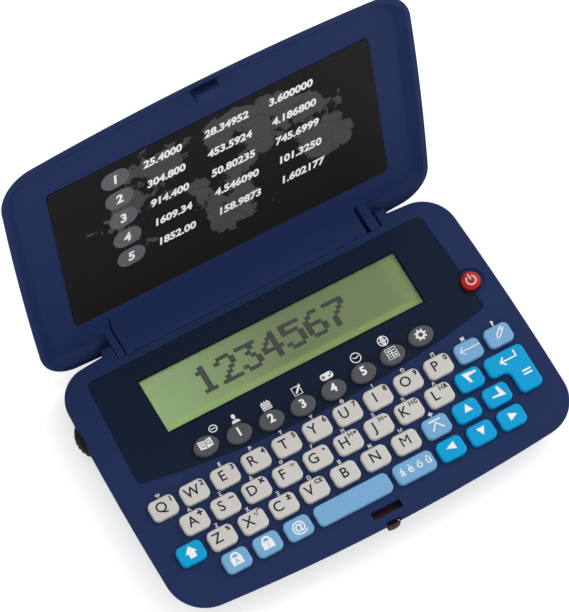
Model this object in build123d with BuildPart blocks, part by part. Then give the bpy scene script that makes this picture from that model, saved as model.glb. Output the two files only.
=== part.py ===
from build123d import *
import os

# Electronic pocket dictionary: a clamshell case with a snap-hinged lid, sprung keys and a display.
# Millimetres. X runs along the keyboard rows, Y from the front edge to the hinge and Z up from the
# flat underside, which lies on Z = 0. The lid is modelled closed, then turned to its resting angle.

# ---- driving dimensions --------------------------------------------------------------------------
# footprint of the case at its rim
half_width_middle = 65.0
front_narrowing = 0.2  # the sides draw in from the middle towards both ends
rear_narrowing = 1.7
middle_y = -8.0
front_edge = -43.7
rear_edge = 41.9
front_bow = 3.4  # how far the front and rear edges bow out between the corners
rear_bow = 2.8
front_corner = 12.0
rear_corner = 10.8

# section of the case
rim_z = 10.5
rim_band = 0.8
side_draft = 0.53  # inset of the walls for each millimetre below the rim band
wall = 1.5
floor_thickness = 1.5
deck_thickness = 1.8
parting_z = 4.8
lip_height = 0.7
lip_clearance = 0.1
rim_round = 0.5
underside_round = 3.0

# keyboard: twelve columns between the side margins
key_side_margin = 5.0
key_gap = 1.9
row_pitch = 7.85
row_gap = 1.65
keyboard_gap = 1.3  # between the panel's foot and the first row
key_corner = 1.75
key_height = 1.5  # above the deck
key_edge = 0.55
key_travel = 0.8
key_clearance = 0.2
flange_margin = 0.45
flange_thickness = 0.8
flange_gap = 0.3
# each row: its shift to the right of the columns, then its keys, with - for a column without a plain key
keyboard_rows = (
    (0.5, "q w e r t y u i o p back edit"),
    (6.2, "a s d f g h j k l previous"),
    (0.6, "shift z x c v b n m insert up next"),
    (0.8, "- caps numbers at - - - - left down right"),
)
bar_gap = 1.7  # beside the two wide keys of the front row
accent_width = 12.7
enter_gap = 1.55
enter_leg_gap = 2.75
enter_overhang = 0.1

# function keys, set on a shallow arc
function_count = 8
function_pitch = 10.08
function_middle_x = 0.65
function_rise = 3.8  # lowest keys above the panel's foot
function_arc_radius = 250.0
function_width = 7.8
function_depth = 6.0
function_height = 1.2
function_web = 5.0

# power button
power_margin = 7.7
power_y = 9.9
power_radius = 2.9
power_height = 1.5
power_crown = 0.6
power_ring_radius = 4.3
power_ring_depth = 0.35

# display and the dark panel over it
panel_setback = 1.9  # in front of the hinge trough
panel_top_margin = 10.0
panel_foot_margin = 8.0
panel_side_foot = 1.2
panel_sag = 5.5  # bow of the lower edge
panel_corner = 2.0
panel_thickness = 0.75
panel_recess = 0.8
panel_clearance = 0.1
window_x = 0.4
window_setback = 5.95
window_margin = 12.6
window_depth = 18.6
window_corner = 0.8
lens_margin = 1.0
lens_thickness = 0.8
lens_clearance = 0.1
glass_side_lap = 3.6
glass_lap = 3.5
glass_ply = 1.0  # the display is two plies of glass
glass_ledge = 3.2  # contact ledge along the front of the upper ply
glass_clearance = 0.15
glass_rib = 0.8
connector_width = 1.6
connector_inset = 6.0

# board and rubber mat
board_thickness = 1.0
board_gap = 0.5
board_setback = 2.15
chip_size = 14.0
chip_height = 1.2
mat_thickness = 0.6
mat_gap = 0.6
mat_margin = 1.2
pip_radius = 1.8
pip_gap = 0.1

# coin cells and their door
cell_radius = 10.0
cell_thickness = 3.2
cell_offset = 11.5
cell_y = 17.5
contact_radius = 3.0
contact_thickness = 0.2
cell_gap = 0.1
door_thickness = 1.2
door_side_lap = 2.5
door_lap = 2.0
door_corner = 3.0
door_clearance = 0.15
door_ledge = 1.3
door_ledge_thickness = 0.9
grip_count = 5
grip_spacing = 2.4
grip_length = 12.0
grip_radius = 0.5
tab_width = 5.0
tab_reach = 1.0
tab_thickness = 0.6
snap_length = 8.0
snap_radius = 0.3
well_wall = 1.0

# contrast wheel
wheel_margin = 7.2
wheel_y = 21.0
wheel_lift = 0.4
wheel_radius = 7.8
wheel_thickness = 2.0
wheel_notches = 30
notch_radius = 0.35
wheel_chamfer = 0.3
wheel_pin_radius = 1.2
wheel_fit = 0.05
wheel_clearance = 0.3
wheel_collar = 0.8
scoop_chord = 8.4
scoop_depth = 1.1
scoop_reveal = 0.95  # the wheel stands out of the scoop's ends

# latch
latch_x = 0.6
slot_width = 9.6
slot_setback = 3.3
slot_depth = 2.45
slot_skin = 1.0
hook_width = 8.0
hook_thickness = 1.2
hook_gap = 0.65
hook_reach = 2.5  # below the rim of the case
barb_bite = 0.4
barb_gap = 0.1
barb_height = 1.0
pusher_gap = 0.3
pusher_thickness = 0.8
slider_width = 13.0
slider_thickness = 0.8
slider_drop = 1.75
slider_front_lap = 0.3
slider_rear_lap = 0.95
slider_clearance = 0.15
guide_width = 1.0
guide_ledge = 0.4
button_width = 3.8
button_proud = 0.6
button_travel = 0.9
button_thickness = 0.8
button_drop = 0.4  # top of the button below the rim
notch_width = 4.4
notch_depth = 1.2

# hinge
axis_setback = 0.5
axis_drop = 1.7  # hinge axis below the rim
barrel_radius = 4.2
barrel_gap = 0.25
barrel_back = 2.9
barrel_left_margin = 22.0
barrel_right_margin = 21.8
side_gap_left = 0.3
side_gap_right = 0.9
sleeve_wall = 1.3
ear_width = 3.0
gusset_top = 3.0
gusset_foot = 4.2
gusset_tip = 0.4
pin_radius = 0.9
pin_fit = 0.07
pin_bite = 2.3  # length of a pin inside its ear
pin_end_gap = 0.2
pin_chamfer = 0.3
left_slit_inset = 2.5
left_slit_width = 0.5
left_slit_length = 7.9
left_slit_depth = 1.1
right_slit_inset = 3.55
right_slit_width = 1.3
right_slit_end = 1.2  # the wide slit stops behind the axis, inside the barrel
slit_turn = 1.1  # from here to the axis and behind it the slits stop at the rim, inside the outer skin
rest_opening = 108.8

# lid
lid_gap = 0.3
lid_overhang = 4.0
lid_band = 0.6
lid_height = 4.2
lid_draft = 1.3
lid_round = 8.0
lid_wall = 1.5
tray_depth = 2.4
tray_round = 2.0
card_x = 0.6
card_side_margin = 13.5
card_front_margin = 17.3
card_rear_margin = 15.9
card_corner = 1.8
card_thickness = 0.25

# screws
screw_radius = 1.0
screw_fit = 0.05
screw_head_radius = 1.8
screw_head_height = 1.0
screw_recess_radius = 2.1
screw_recess_depth = 1.5
screw_length = 5.6
screw_slot = 0.5
seat_z = 3.0
boss_radius = 2.4
boss_clearance = 0.4
# places of the screws and of the posts under the board: x in key pitches, y in millimetres
screw_grid = ((-5.3, -33.0), (5.4, -33.0), (-4.9, 5.6), (4.94, 5.6), (-5.15, 31.0), (5.15, 31.0))
post_radius = 1.4
post_grid = ((-3.0, -28.0), (3.0, -28.0), (-3.0, -4.0), (3.0, -4.0), (-3.3, 28.0), (3.3, 28.0))

# ---- sizes that follow from them -----------------------------------------------------------------
half_width_front = half_width_middle - front_narrowing
half_width_rear = half_width_middle - rear_narrowing
# heights
deck_underside = rim_z - deck_thickness
flange_top = deck_underside - flange_gap
flange_bottom = flange_top - flange_thickness
cell_z = door_thickness + cell_gap
board_z = cell_z + cell_thickness + contact_thickness
board_top = board_z + board_thickness
mat_top = board_top + mat_thickness
pip_top = flange_bottom - key_travel - pip_gap
wheel_z = board_top + wheel_lift
slider_z = deck_underside - slider_drop
axis_z = rim_z - axis_drop
lid_rim_z = rim_z + lid_gap
tray_floor_z = lid_rim_z + tray_depth
lid_top_z = lid_rim_z + lid_height
panel_seat = rim_z - panel_recess
ledge_z = deck_underside - glass_ply
glass_bottom = ledge_z - glass_ply
barb_top = rim_z - slot_skin - barb_gap
# hinge
axis_y = rear_edge - axis_setback
lid_rear = rear_edge + lid_overhang
recess_radius = barrel_radius + barrel_gap
barrel_left = barrel_left_margin - half_width_middle
barrel_right = half_width_middle - barrel_right_margin
recess_left = barrel_left - side_gap_left
recess_right = barrel_right + side_gap_right
left_slit_x = barrel_left + left_slit_inset
right_slit_x = barrel_right - right_slit_inset
# panel, window and display
panel_top = axis_y - recess_radius - panel_setback
panel_half_top = half_width_middle - panel_top_margin
panel_half_bottom = half_width_middle - panel_foot_margin
panel_foot = panel_side_foot - panel_sag
window_y = panel_top - window_setback - window_depth / 2
window_width = 2 * (panel_half_top - window_margin)
glass_width = window_width + 2 * glass_side_lap
glass_depth = window_depth + 2 * glass_lap
glass_front = window_y - glass_depth / 2
connector_length = glass_width - 2 * connector_inset
board_rear = axis_y - recess_radius - sleeve_wall - board_setback
mat_rear = glass_front - mat_gap
power_x = half_width_middle - power_margin
wheel_x = wheel_margin - half_width_middle
function_low_y = panel_foot + function_rise
# keyboard
key_pitch = (half_width_middle - key_side_margin) / 6
key_width = key_pitch - key_gap
key_depth = row_pitch - row_gap
row_y = [panel_foot - keyboard_gap - key_depth / 2 - row * row_pitch for row in range(4)]
screw_places = [(column * key_pitch, y) for column, y in screw_grid]
post_places = [(column * key_pitch, y) for column, y in post_grid]
# latch
slot_front = front_edge + slot_setback
slot_rear = slot_front + slot_depth
hook_rear = slot_rear - hook_gap
hook_front = hook_rear - hook_thickness
slider_front = slot_front - slider_front_lap
slider_rear = slot_rear + slider_rear_lap
barb_tip = slot_front - barb_bite
# card in the lid, battery door
card_width = 2 * (half_width_middle - card_side_margin)
card_front = front_edge + card_front_margin
card_depth = lid_rear - card_rear_margin - card_front
door_width = 2 * (cell_offset + cell_radius + door_side_lap)
door_depth = 2 * (cell_radius + door_lap)


def wall_inset(z):
    """Inset of the case's outer wall from its rim outline at height z."""
    return side_draft * max(rim_z - rim_band - z, 0)


def footprint(rear, inset):
    """Outline of the case or the lid, drawn in from the rim outline."""
    with BuildSketch(Plane.XY, mode=Mode.PRIVATE) as outline:
        with BuildLine():
            front = ThreePointArc(
                (-half_width_front, front_edge + front_bow),
                (0, front_edge),
                (half_width_front, front_edge + front_bow),
            )
            right = ThreePointArc(
                front @ 1, (half_width_middle, middle_y), (half_width_rear, rear - rear_bow)
            )
            back = ThreePointArc(right @ 1, (0, rear), (-half_width_rear, rear - rear_bow))
            ThreePointArc(back @ 1, (-half_width_middle, middle_y), front @ 0)
        make_face()
        fillet(outline.vertices().group_by(Axis.Y)[0], radius=front_corner)
        fillet(outline.vertices().sort_by(Axis.Y)[-2:], radius=rear_corner)
        if inset:
            offset(amount=-inset)
    return outline.sketch


def drafted_block(low_z, low_inset, high_z, high_inset, rear):
    """Block whose walls lean between two insets of the footprint."""
    with BuildPart(mode=Mode.PRIVATE) as block:
        for z, inset in ((low_z, low_inset), (high_z, high_inset)):
            with BuildSketch(Plane.XY.offset(z)):
                add(footprint(rear, inset))
        loft(ruled=True)
    return block.part


def lip_block(height, inset):
    """Block filled by the lip along the parting line, open at the hinge."""
    top_z = parting_z + height
    low_inset, high_inset = wall_inset(parting_z) + inset, wall_inset(top_z) + inset
    with BuildPart(mode=Mode.PRIVATE) as block:
        add(drafted_block(parting_z, low_inset, top_z, high_inset, rear_edge))
        with BuildSketch(Plane.XY.offset(parting_z)):
            with Locations(((recess_left + recess_right) / 2, axis_y)):
                Rectangle(recess_right - recess_left + 4 * sleeve_wall, 4 * barrel_radius)
        extrude(amount=height, mode=Mode.SUBTRACT)
    return block.part


def key_plan(x, y, width, grow):
    """Plan of a plain key, grown on every side."""
    with BuildSketch(mode=Mode.PRIVATE) as plan:
        with Locations((x, y)):
            RectangleRounded(width + 2 * grow, key_depth + 2 * grow, key_corner + grow)
    return plan.sketch


def enter_plan(grow):
    """Plan of the enter key: a bar in the second row with a leg through the third."""
    bar_top, bar_foot = row_y[1] + key_depth / 2, row_y[1] - key_depth / 2
    leg_foot = row_y[2] - key_depth / 2
    with BuildSketch(mode=Mode.PRIVATE) as plan:
        with BuildLine():
            Polyline(
                (enter_left, bar_foot), (enter_leg_left, bar_foot), (enter_leg_left, leg_foot),
                (enter_right, leg_foot), (enter_right, bar_top), (enter_left, bar_top), close=True,
            )
        make_face()
        fillet(plan.vertices(), radius=key_corner)
        if grow:
            offset(amount=grow)
    return plan.sketch


def window_plan(grow):
    """Plan of the display window, grown on every side."""
    with BuildSketch(mode=Mode.PRIVATE) as plan:
        with Locations((window_x, window_y)):
            RectangleRounded(window_width + 2 * grow, window_depth + 2 * grow, window_corner)
    return plan.sketch


def panel_plan(grow):
    """Plan of the dark panel: leaning sides over a bowed lower edge."""
    with BuildSketch(mode=Mode.PRIVATE) as plan:
        with BuildLine():
            Line((-panel_half_top, panel_top), (panel_half_top, panel_top))
            Line((panel_half_top, panel_top), (panel_half_bottom, panel_side_foot))
            ThreePointArc(
                (panel_half_bottom, panel_side_foot),
                (0, panel_foot),
                (-panel_half_bottom, panel_side_foot),
            )
            Line((-panel_half_bottom, panel_side_foot), (-panel_half_top, panel_top))
        make_face()
        fillet(plan.vertices(), radius=panel_corner)
        if grow:
            offset(amount=grow)
    return plan.sketch


key_places = [
    (name, (column - 5.5) * key_pitch + shift, y, key_width)
    for (shift, names), y in zip(keyboard_rows, row_y)
    for column, name in enumerate(names.split())
    if name != "-"
]
key_edges = {name: (x - width / 2, x + width / 2) for name, x, y, width in key_places}
accent_right = key_edges["left"][0] - bar_gap
accent_left = accent_right - accent_width
space_left, space_right = key_edges["at"][1] + bar_gap, accent_left - bar_gap
key_places += [
    ("space", (space_left + space_right) / 2, row_y[3], space_right - space_left),
    ("accents", (accent_left + accent_right) / 2, row_y[3], accent_width),
]
enter_left = key_edges["previous"][1] + enter_gap
enter_leg_left = key_edges["next"][1] + enter_leg_gap
enter_right = key_edges["edit"][1] + enter_overhang
key_growths = (0, key_clearance, flange_margin)
key_plans = {
    name: [key_plan(x, y, width, grow) for grow in key_growths] for name, x, y, width in key_places
}
key_plans["enter"] = [enter_plan(grow) for grow in key_growths]
enter_centre = ((enter_leg_left + enter_right) / 2, (row_y[1] + row_y[2]) / 2)
function_x = [
    function_middle_x + (place - (function_count - 1) / 2) * function_pitch
    for place in range(function_count)
]
function_places = [
    (x, function_low_y + (x - function_middle_x) ** 2 / (2 * function_arc_radius)) for x in function_x
]
hinge_axis = Axis((0, axis_y, axis_z), (1, 0, 0))

os.makedirs("parts", exist_ok=True)

# ---- the case form, its cavity and the joint between its halves -----------------------------------
case_taper = drafted_block(0, wall_inset(0), rim_z - rim_band, 0, rear_edge)
cavity_taper = drafted_block(
    floor_thickness, wall_inset(floor_thickness) + wall,
    deck_underside, wall_inset(deck_underside) + wall, rear_edge,
)
lip = lip_block(lip_height, (wall + lip_clearance) / 2)
lip_groove = lip_block(lip_height + lip_clearance, (wall - lip_clearance) / 2)

with BuildPart() as case_form:
    add(case_taper)
    with BuildSketch(Plane.XY.offset(rim_z - rim_band)):
        add(footprint(rear_edge, 0))
    extrude(amount=rim_band)
    fillet(case_form.edges().group_by(Axis.Z)[0], radius=underside_round)
    fillet(case_form.edges().group_by(Axis.Z)[-1], radius=rim_round)
    # open trough for the lid's barrel
    with BuildSketch(Plane.YZ.offset(recess_left)):
        with Locations((axis_y, axis_z)):
            Circle(recess_radius)
            Rectangle(rear_edge, rear_edge, align=(Align.MIN, Align.CENTER))
    extrude(amount=recess_right - recess_left, mode=Mode.SUBTRACT)

with BuildPart() as case_cavity:
    add(cavity_taper)
    # wall left around the trough
    with BuildSketch(Plane.YZ.offset(recess_left - sleeve_wall)):
        with Locations((axis_y, axis_z)):
            Circle(recess_radius + sleeve_wall)
    extrude(amount=recess_right - recess_left + 2 * sleeve_wall, mode=Mode.SUBTRACT)

# ---- lower case: tapered tub with the coin-cell well and the screw seats ----------------------------
with BuildPart() as lower_case:
    add(case_form.part)
    split(bisect_by=Plane.XY.offset(parting_z), keep=Keep.BOTTOM)
    add(lip)
    add(case_cavity.part, mode=Mode.SUBTRACT)
    # seats for the screw bosses and posts under the board
    with BuildSketch(Plane.XY.offset(floor_thickness / 2)):
        with Locations(*screw_places):
            Circle(boss_radius)
    extrude(amount=seat_z - floor_thickness / 2)
    with BuildSketch(Plane.XY.offset(floor_thickness / 2)):
        with Locations(*post_places):
            Circle(post_radius)
    extrude(amount=board_z - floor_thickness / 2)
    # well for the cells, with a ledge that the door seats against
    with BuildSketch(Plane.XY.offset(floor_thickness / 2)):
        with Locations((0, cell_y)):
            RectangleRounded(
                door_width + 2 * well_wall, door_depth + 2 * well_wall, door_corner + well_wall
            )
    extrude(amount=door_thickness + door_ledge_thickness - floor_thickness / 2)
    with BuildSketch(Plane.XY.offset(door_thickness)):
        with Locations((0, cell_y)):
            RectangleRounded(
                door_width - 2 * door_ledge + 2 * well_wall,
                door_depth - 2 * door_ledge + 2 * well_wall, door_corner,
            )
    extrude(amount=board_z - lip_clearance - door_thickness)
    with BuildSketch(Plane.XY):
        with Locations((0, cell_y)):
            RectangleRounded(
                door_width - 2 * door_ledge, door_depth - 2 * door_ledge, door_corner - well_wall
            )
    extrude(amount=board_z, mode=Mode.SUBTRACT)
    with BuildSketch(Plane.XY):
        with Locations((0, cell_y)):
            RectangleRounded(
                door_width + 2 * door_clearance, door_depth + 2 * door_clearance,
                door_corner + door_clearance,
            )
    extrude(amount=door_thickness, mode=Mode.SUBTRACT)
    # pockets for the door's tabs and a groove for its snap bead
    with BuildSketch(Plane.XY.offset(door_thickness - tab_thickness - barb_gap)):
        with Locations((-door_width / 2, cell_y)):
            with GridLocations(0, door_depth / 2, 1, 2):
                Rectangle(
                    2 * tab_reach + 4 * door_clearance, tab_width + 2 * door_clearance
                )
    extrude(amount=tab_thickness + barb_gap, mode=Mode.SUBTRACT)
    with BuildSketch(Plane.XZ.offset(-cell_y - snap_length / 2)):
        with Locations((door_width / 2 + door_clearance, door_thickness / 2)):
            Circle(snap_radius)
    extrude(amount=snap_length, mode=Mode.SUBTRACT)
    # counterbored screw holes from below
    with Locations(Plane.XY.rotated((180, 0, 0))):
        with Locations(*[(x, -y) for x, y in screw_places]):
            CounterBoreHole(
                radius=screw_radius + boss_clearance / 2, counter_bore_radius=screw_recess_radius,
                counter_bore_depth=screw_recess_depth, depth=seat_z,
            )
lower_case.part.label = "lower_case"
export_step(lower_case.part, "parts/lower_case.step")

# ---- upper case: deck with the key openings, hinge ears and latch guides ----------------------------
with BuildPart() as upper_case:
    add(case_form.part)
    split(bisect_by=Plane.XY.offset(parting_z), keep=Keep.TOP)
    add(case_cavity.part, mode=Mode.SUBTRACT)
    add(lip_groove, mode=Mode.SUBTRACT)
    # ears with gussets down the rear wall, bored for the lid's pins
    for ear_x in (recess_left - ear_width, recess_right):
        with BuildSketch(Plane.YZ.offset(ear_x)):
            with Locations((axis_y, axis_z)):
                Circle(axis_drop)
            with BuildLine():
                Polyline(
                    (axis_y - gusset_top, rim_z), (axis_y - gusset_foot, parting_z + gusset_tip),
                    (axis_y - gusset_foot + gusset_tip, parting_z + gusset_tip), close=True,
                )
            make_face()
            make_hull()
        extrude(amount=ear_width)
    pin_hole_depth = pin_bite + pin_end_gap
    for hole_x, hole_depth in ((recess_left, -pin_hole_depth), (recess_right, pin_hole_depth)):
        with BuildSketch(Plane.YZ.offset(hole_x)):
            with Locations((axis_y, axis_z)):
                Circle(pin_radius + pin_fit)
        extrude(amount=hole_depth, mode=Mode.SUBTRACT)
    # bosses for the screws
    with BuildSketch(Plane.XY.offset(seat_z)):
        with Locations(*screw_places):
            Circle(boss_radius)
            Circle(screw_radius + screw_fit, mode=Mode.SUBTRACT)
    extrude(amount=deck_underside - seat_z)
    # locating ribs beside and behind the display glass
    pocket_width = glass_width + 2 * glass_clearance
    pocket_depth = glass_depth + 2 * glass_clearance
    with BuildSketch(Plane.XY.offset(glass_bottom)):
        with Locations((window_x, window_y)):
            Rectangle(pocket_width + 2 * glass_rib, pocket_depth + 2 * glass_rib)
            Rectangle(pocket_width, pocket_depth, mode=Mode.SUBTRACT)
        with Locations((window_x, glass_front + glass_ledge)):
            Rectangle(
                pocket_width + 4 * glass_rib, pocket_depth,
                align=(Align.CENTER, Align.MAX), mode=Mode.SUBTRACT,
            )
    extrude(amount=deck_underside - glass_bottom)
    # recess for the panel, opening for the lens
    with BuildSketch(Plane.XY.offset(panel_seat)):
        add(panel_plan(panel_clearance))
    extrude(amount=panel_recess, mode=Mode.SUBTRACT)
    with BuildSketch(Plane.XY.offset(deck_underside)):
        add(window_plan(lens_margin + lens_clearance))
    extrude(amount=deck_thickness, mode=Mode.SUBTRACT)
    # key openings
    with BuildSketch(Plane.XY.offset(deck_underside)):
        for cap, opening, flange in key_plans.values():
            add(opening)
        with Locations(*function_places):
            Ellipse(function_width / 2 + key_clearance, function_depth / 2 + key_clearance)
        with Locations((power_x, power_y)):
            Circle(power_radius + key_clearance)
    extrude(amount=deck_thickness, mode=Mode.SUBTRACT)
    # sunk ring around the power button
    with BuildSketch(Plane.XY.offset(rim_z - power_ring_depth)):
        with Locations((power_x, power_y)):
            Circle(power_ring_radius)
    extrude(amount=power_ring_depth, mode=Mode.SUBTRACT)
    # opening and thumb scoop for the contrast wheel
    with BuildSketch(Plane.XY.offset(wheel_z - wheel_clearance)):
        with Locations((wheel_x, wheel_y)):
            Circle(wheel_radius + wheel_clearance)
    extrude(amount=wheel_thickness + 2 * wheel_clearance, mode=Mode.SUBTRACT)
    scoop_radius = ((scoop_chord / 2) ** 2 + scoop_depth**2) / (2 * scoop_depth)
    with BuildSketch(Plane.XY.offset(wheel_z - wheel_clearance)):
        with Locations((wheel_x - wheel_radius + scoop_reveal + scoop_depth - scoop_radius, wheel_y)):
            Circle(scoop_radius)
    extrude(amount=rim_z - wheel_z + wheel_clearance, mode=Mode.SUBTRACT)
    # latch slot through the deck, thinned in front where the barb catches
    with BuildSketch(Plane.XY.offset(deck_underside)):
        with Locations((latch_x, slot_rear)):
            Rectangle(slot_width, slot_rear - slot_front, align=(Align.CENTER, Align.MAX))
    extrude(amount=deck_thickness, mode=Mode.SUBTRACT)
    with BuildSketch(Plane.XY.offset(deck_underside)):
        with Locations((latch_x, slot_front)):
            Rectangle(slot_width, 2 * barb_bite, align=(Align.CENTER, Align.MAX))
    extrude(amount=deck_thickness - slot_skin, mode=Mode.SUBTRACT)
    # guides that carry the latch slider
    guide_z = slider_z - slider_clearance
    for side in (-1, 1):
        guide_x = latch_x + side * (slider_width / 2 + slider_clearance)
        guide_lip, guide_back = guide_x - side * guide_width, guide_x + side * guide_width
        with BuildSketch(Plane.XZ.offset(-slider_rear - button_travel)):
            with BuildLine():
                Polyline(
                    (guide_x, deck_underside), (guide_x, guide_z), (guide_lip, guide_z),
                    (guide_lip, guide_z - guide_ledge), (guide_back, guide_z - guide_ledge),
                    (guide_back, deck_underside), close=True,
                )
            make_face()
        extrude(amount=slider_rear + button_travel - slider_front)
    # notch for the latch button, open through the front skirt
    with BuildSketch(Plane.XY.offset(guide_z)):
        with Locations((latch_x, front_edge + notch_depth)):
            Rectangle(notch_width, 4 * notch_depth, align=(Align.CENTER, Align.MAX))
    extrude(amount=rim_z, mode=Mode.SUBTRACT)
    with BuildSketch(Plane.XY.offset(guide_z)):
        with Locations((latch_x, front_edge + notch_depth)):
            Rectangle(notch_width, 4 * wall)
    extrude(amount=deck_underside - guide_z, mode=Mode.SUBTRACT)
upper_case.part.label = "upper_case"
export_step(upper_case.part, "parts/upper_case.step")

# ---- dark panel, lens, display glass and its connector strip ----------------------------------------
with BuildPart() as screen_fascia:
    with BuildSketch(Plane.XY.offset(panel_seat)):
        add(panel_plan(0))
        add(window_plan(0), mode=Mode.SUBTRACT)
        with Locations(*function_places):
            Ellipse(
                function_width / 2 + key_clearance, function_depth / 2 + key_clearance,
                mode=Mode.SUBTRACT,
            )
        with Locations((power_x, power_y)):
            Circle(power_radius + key_clearance, mode=Mode.SUBTRACT)
    extrude(amount=panel_thickness)
    with BuildSketch(Plane.XY.offset(rim_z - power_ring_depth)):
        with Locations((power_x, power_y)):
            Circle(power_ring_radius)
    extrude(amount=power_ring_depth, mode=Mode.SUBTRACT)
screen_fascia.part.label = "screen_fascia"
export_step(screen_fascia.part, "parts/screen_fascia.step")

with BuildPart() as screen_lens:
    with BuildSketch(Plane.XY.offset(panel_seat - lens_thickness)):
        add(window_plan(lens_margin))
    extrude(amount=lens_thickness)
screen_lens.part.label = "screen_lens"
export_step(screen_lens.part, "parts/screen_lens.step")

with BuildPart() as lcd_panel:
    with BuildSketch(Plane.XY.offset(ledge_z)):
        with Locations((window_x, glass_front)):
            Rectangle(glass_width, glass_depth, align=(Align.CENTER, Align.MIN))
    extrude(amount=glass_ply)
    with BuildSketch(Plane.XY.offset(glass_bottom)):
        with Locations((window_x, glass_front + glass_ledge)):
            Rectangle(glass_width, glass_depth - glass_ledge, align=(Align.CENTER, Align.MIN))
    extrude(amount=glass_ply)
lcd_panel.part.label = "lcd_panel"
export_step(lcd_panel.part, "parts/lcd_panel.step")

with BuildPart() as zebra_strip:
    with BuildSketch(Plane.XY.offset(board_top)):
        with Locations((window_x, glass_front + glass_ledge / 2)):
            Rectangle(connector_length, connector_width)
    extrude(amount=ledge_z - board_top)
zebra_strip.part.label = "zebra_strip"
export_step(zebra_strip.part, "parts/zebra_strip.step")

# ---- circuit board and rubber mat ---------------------------------------------------------------------
with BuildPart() as circuit_board:
    with BuildSketch(Plane.XY.offset(board_z)):
        add(footprint(rear_edge, wall_inset(board_z) + wall + board_gap))
        with Locations((0, board_rear)):
            Rectangle(2 * half_width_middle, rear_edge, align=(Align.CENTER, Align.MIN), mode=Mode.SUBTRACT)
        with Locations(*screw_places):
            Circle(boss_radius + boss_clearance, mode=Mode.SUBTRACT)
    extrude(amount=board_thickness)
    # pivot of the contrast wheel
    with BuildSketch(Plane.XY.offset(board_top)):
        with Locations((wheel_x, wheel_y)):
            Circle(wheel_pin_radius)
    extrude(amount=wheel_z + wheel_thickness - board_top)
    with BuildSketch(Plane.XY.offset(board_top)):
        with Locations((wheel_x, wheel_y)):
            Circle(wheel_pin_radius + wheel_collar)
    extrude(amount=wheel_lift / 2)
    # contacts on the cells and the processor under the keyboard
    with BuildSketch(Plane.XY.offset(board_z)):
        with Locations((-cell_offset, cell_y), (cell_offset, cell_y)):
            Circle(contact_radius)
    extrude(amount=-contact_thickness)
    with BuildSketch(Plane.XY.offset(board_z)):
        with Locations((0, row_y[1])):
            RectangleRounded(chip_size, chip_size, chip_height)
    extrude(amount=-chip_height)
circuit_board.part.label = "circuit_board"
export_step(circuit_board.part, "parts/circuit_board.step")

with BuildPart() as keypad_mat:
    with BuildSketch(Plane.XY.offset(board_top)):
        add(footprint(rear_edge, wall_inset(board_z) + wall + board_gap + mat_margin))
        with Locations((0, mat_rear)):
            Rectangle(2 * half_width_middle, rear_edge, align=(Align.CENTER, Align.MIN), mode=Mode.SUBTRACT)
        with Locations((power_x, power_y)):
            Circle(power_radius + flange_margin)
        with Locations((power_x, mat_rear)):
            Rectangle(2 * power_radius, power_y - mat_rear, align=(Align.CENTER, Align.MIN))
        with Locations(*screw_places):
            Circle(boss_radius + boss_clearance, mode=Mode.SUBTRACT)
    extrude(amount=mat_thickness)
    pip_places = [(x, y) for name, x, y, width in key_places] + function_places
    with BuildSketch(Plane.XY.offset(mat_top)):
        with Locations(*pip_places, enter_centre, (power_x, power_y)):
            Circle(pip_radius)
    extrude(amount=pip_top - mat_top, taper=20)
keypad_mat.part.label = "keypad_mat"
export_step(keypad_mat.part, "parts/keypad_mat.step")

# ---- keys: each a rounded cap over a flange that is held under the deck ------------------------------
for name, (cap, opening, flange) in key_plans.items():
    with BuildPart() as key:
        with BuildSketch(Plane.XY.offset(flange_bottom)):
            add(flange)
        extrude(amount=flange_thickness)
        with BuildSketch(Plane.XY.offset(flange_top)):
            add(cap)
        extrude(amount=rim_z + key_height - flange_top)
        fillet(key.edges().group_by(Axis.Z)[-1], radius=key_edge)
    key.part.label = f"key_{name}"
    export_step(key.part, f"parts/key_{name}.step")

with BuildPart() as function_keys:
    with BuildSketch(Plane.XY.offset(flange_bottom)):
        with BuildLine(mode=Mode.PRIVATE) as web_line:
            ThreePointArc(function_places[0], (function_middle_x, function_low_y), function_places[-1])
        SlotArc(web_line.edge(), function_web)
        with Locations(*function_places):
            Ellipse(function_width / 2 + flange_margin, function_depth / 2 + flange_margin)
    extrude(amount=flange_thickness)
    with BuildSketch(Plane.XY.offset(flange_top)):
        with Locations(*function_places):
            Ellipse(function_width / 2, function_depth / 2)
    extrude(amount=rim_z + function_height - flange_top)
    fillet(function_keys.edges().group_by(Axis.Z)[-1], radius=key_edge)
function_keys.part.label = "function_keys"
export_step(function_keys.part, "parts/function_keys.step")

with BuildPart() as power_button:
    with BuildSketch(Plane.XZ):
        with BuildLine():
            crown_top = (0, rim_z + power_height)
            crown_edge = (power_radius, rim_z + power_height - power_crown)
            crown_middle = (power_radius * 0.55, rim_z + power_height - power_crown * 0.22)
            ThreePointArc(crown_top, crown_middle, crown_edge)
            Polyline(
                crown_edge, (power_radius, flange_top), (power_radius + flange_margin, flange_top),
                (power_radius + flange_margin, flange_bottom), (0, flange_bottom), crown_top,
            )
        make_face()
    revolve(axis=Axis.Z)
power_button.part = power_button.part.moved(Location((power_x, power_y, 0)))
power_button.part.label = "power_button"
export_step(power_button.part, "parts/power_button.step")

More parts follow.
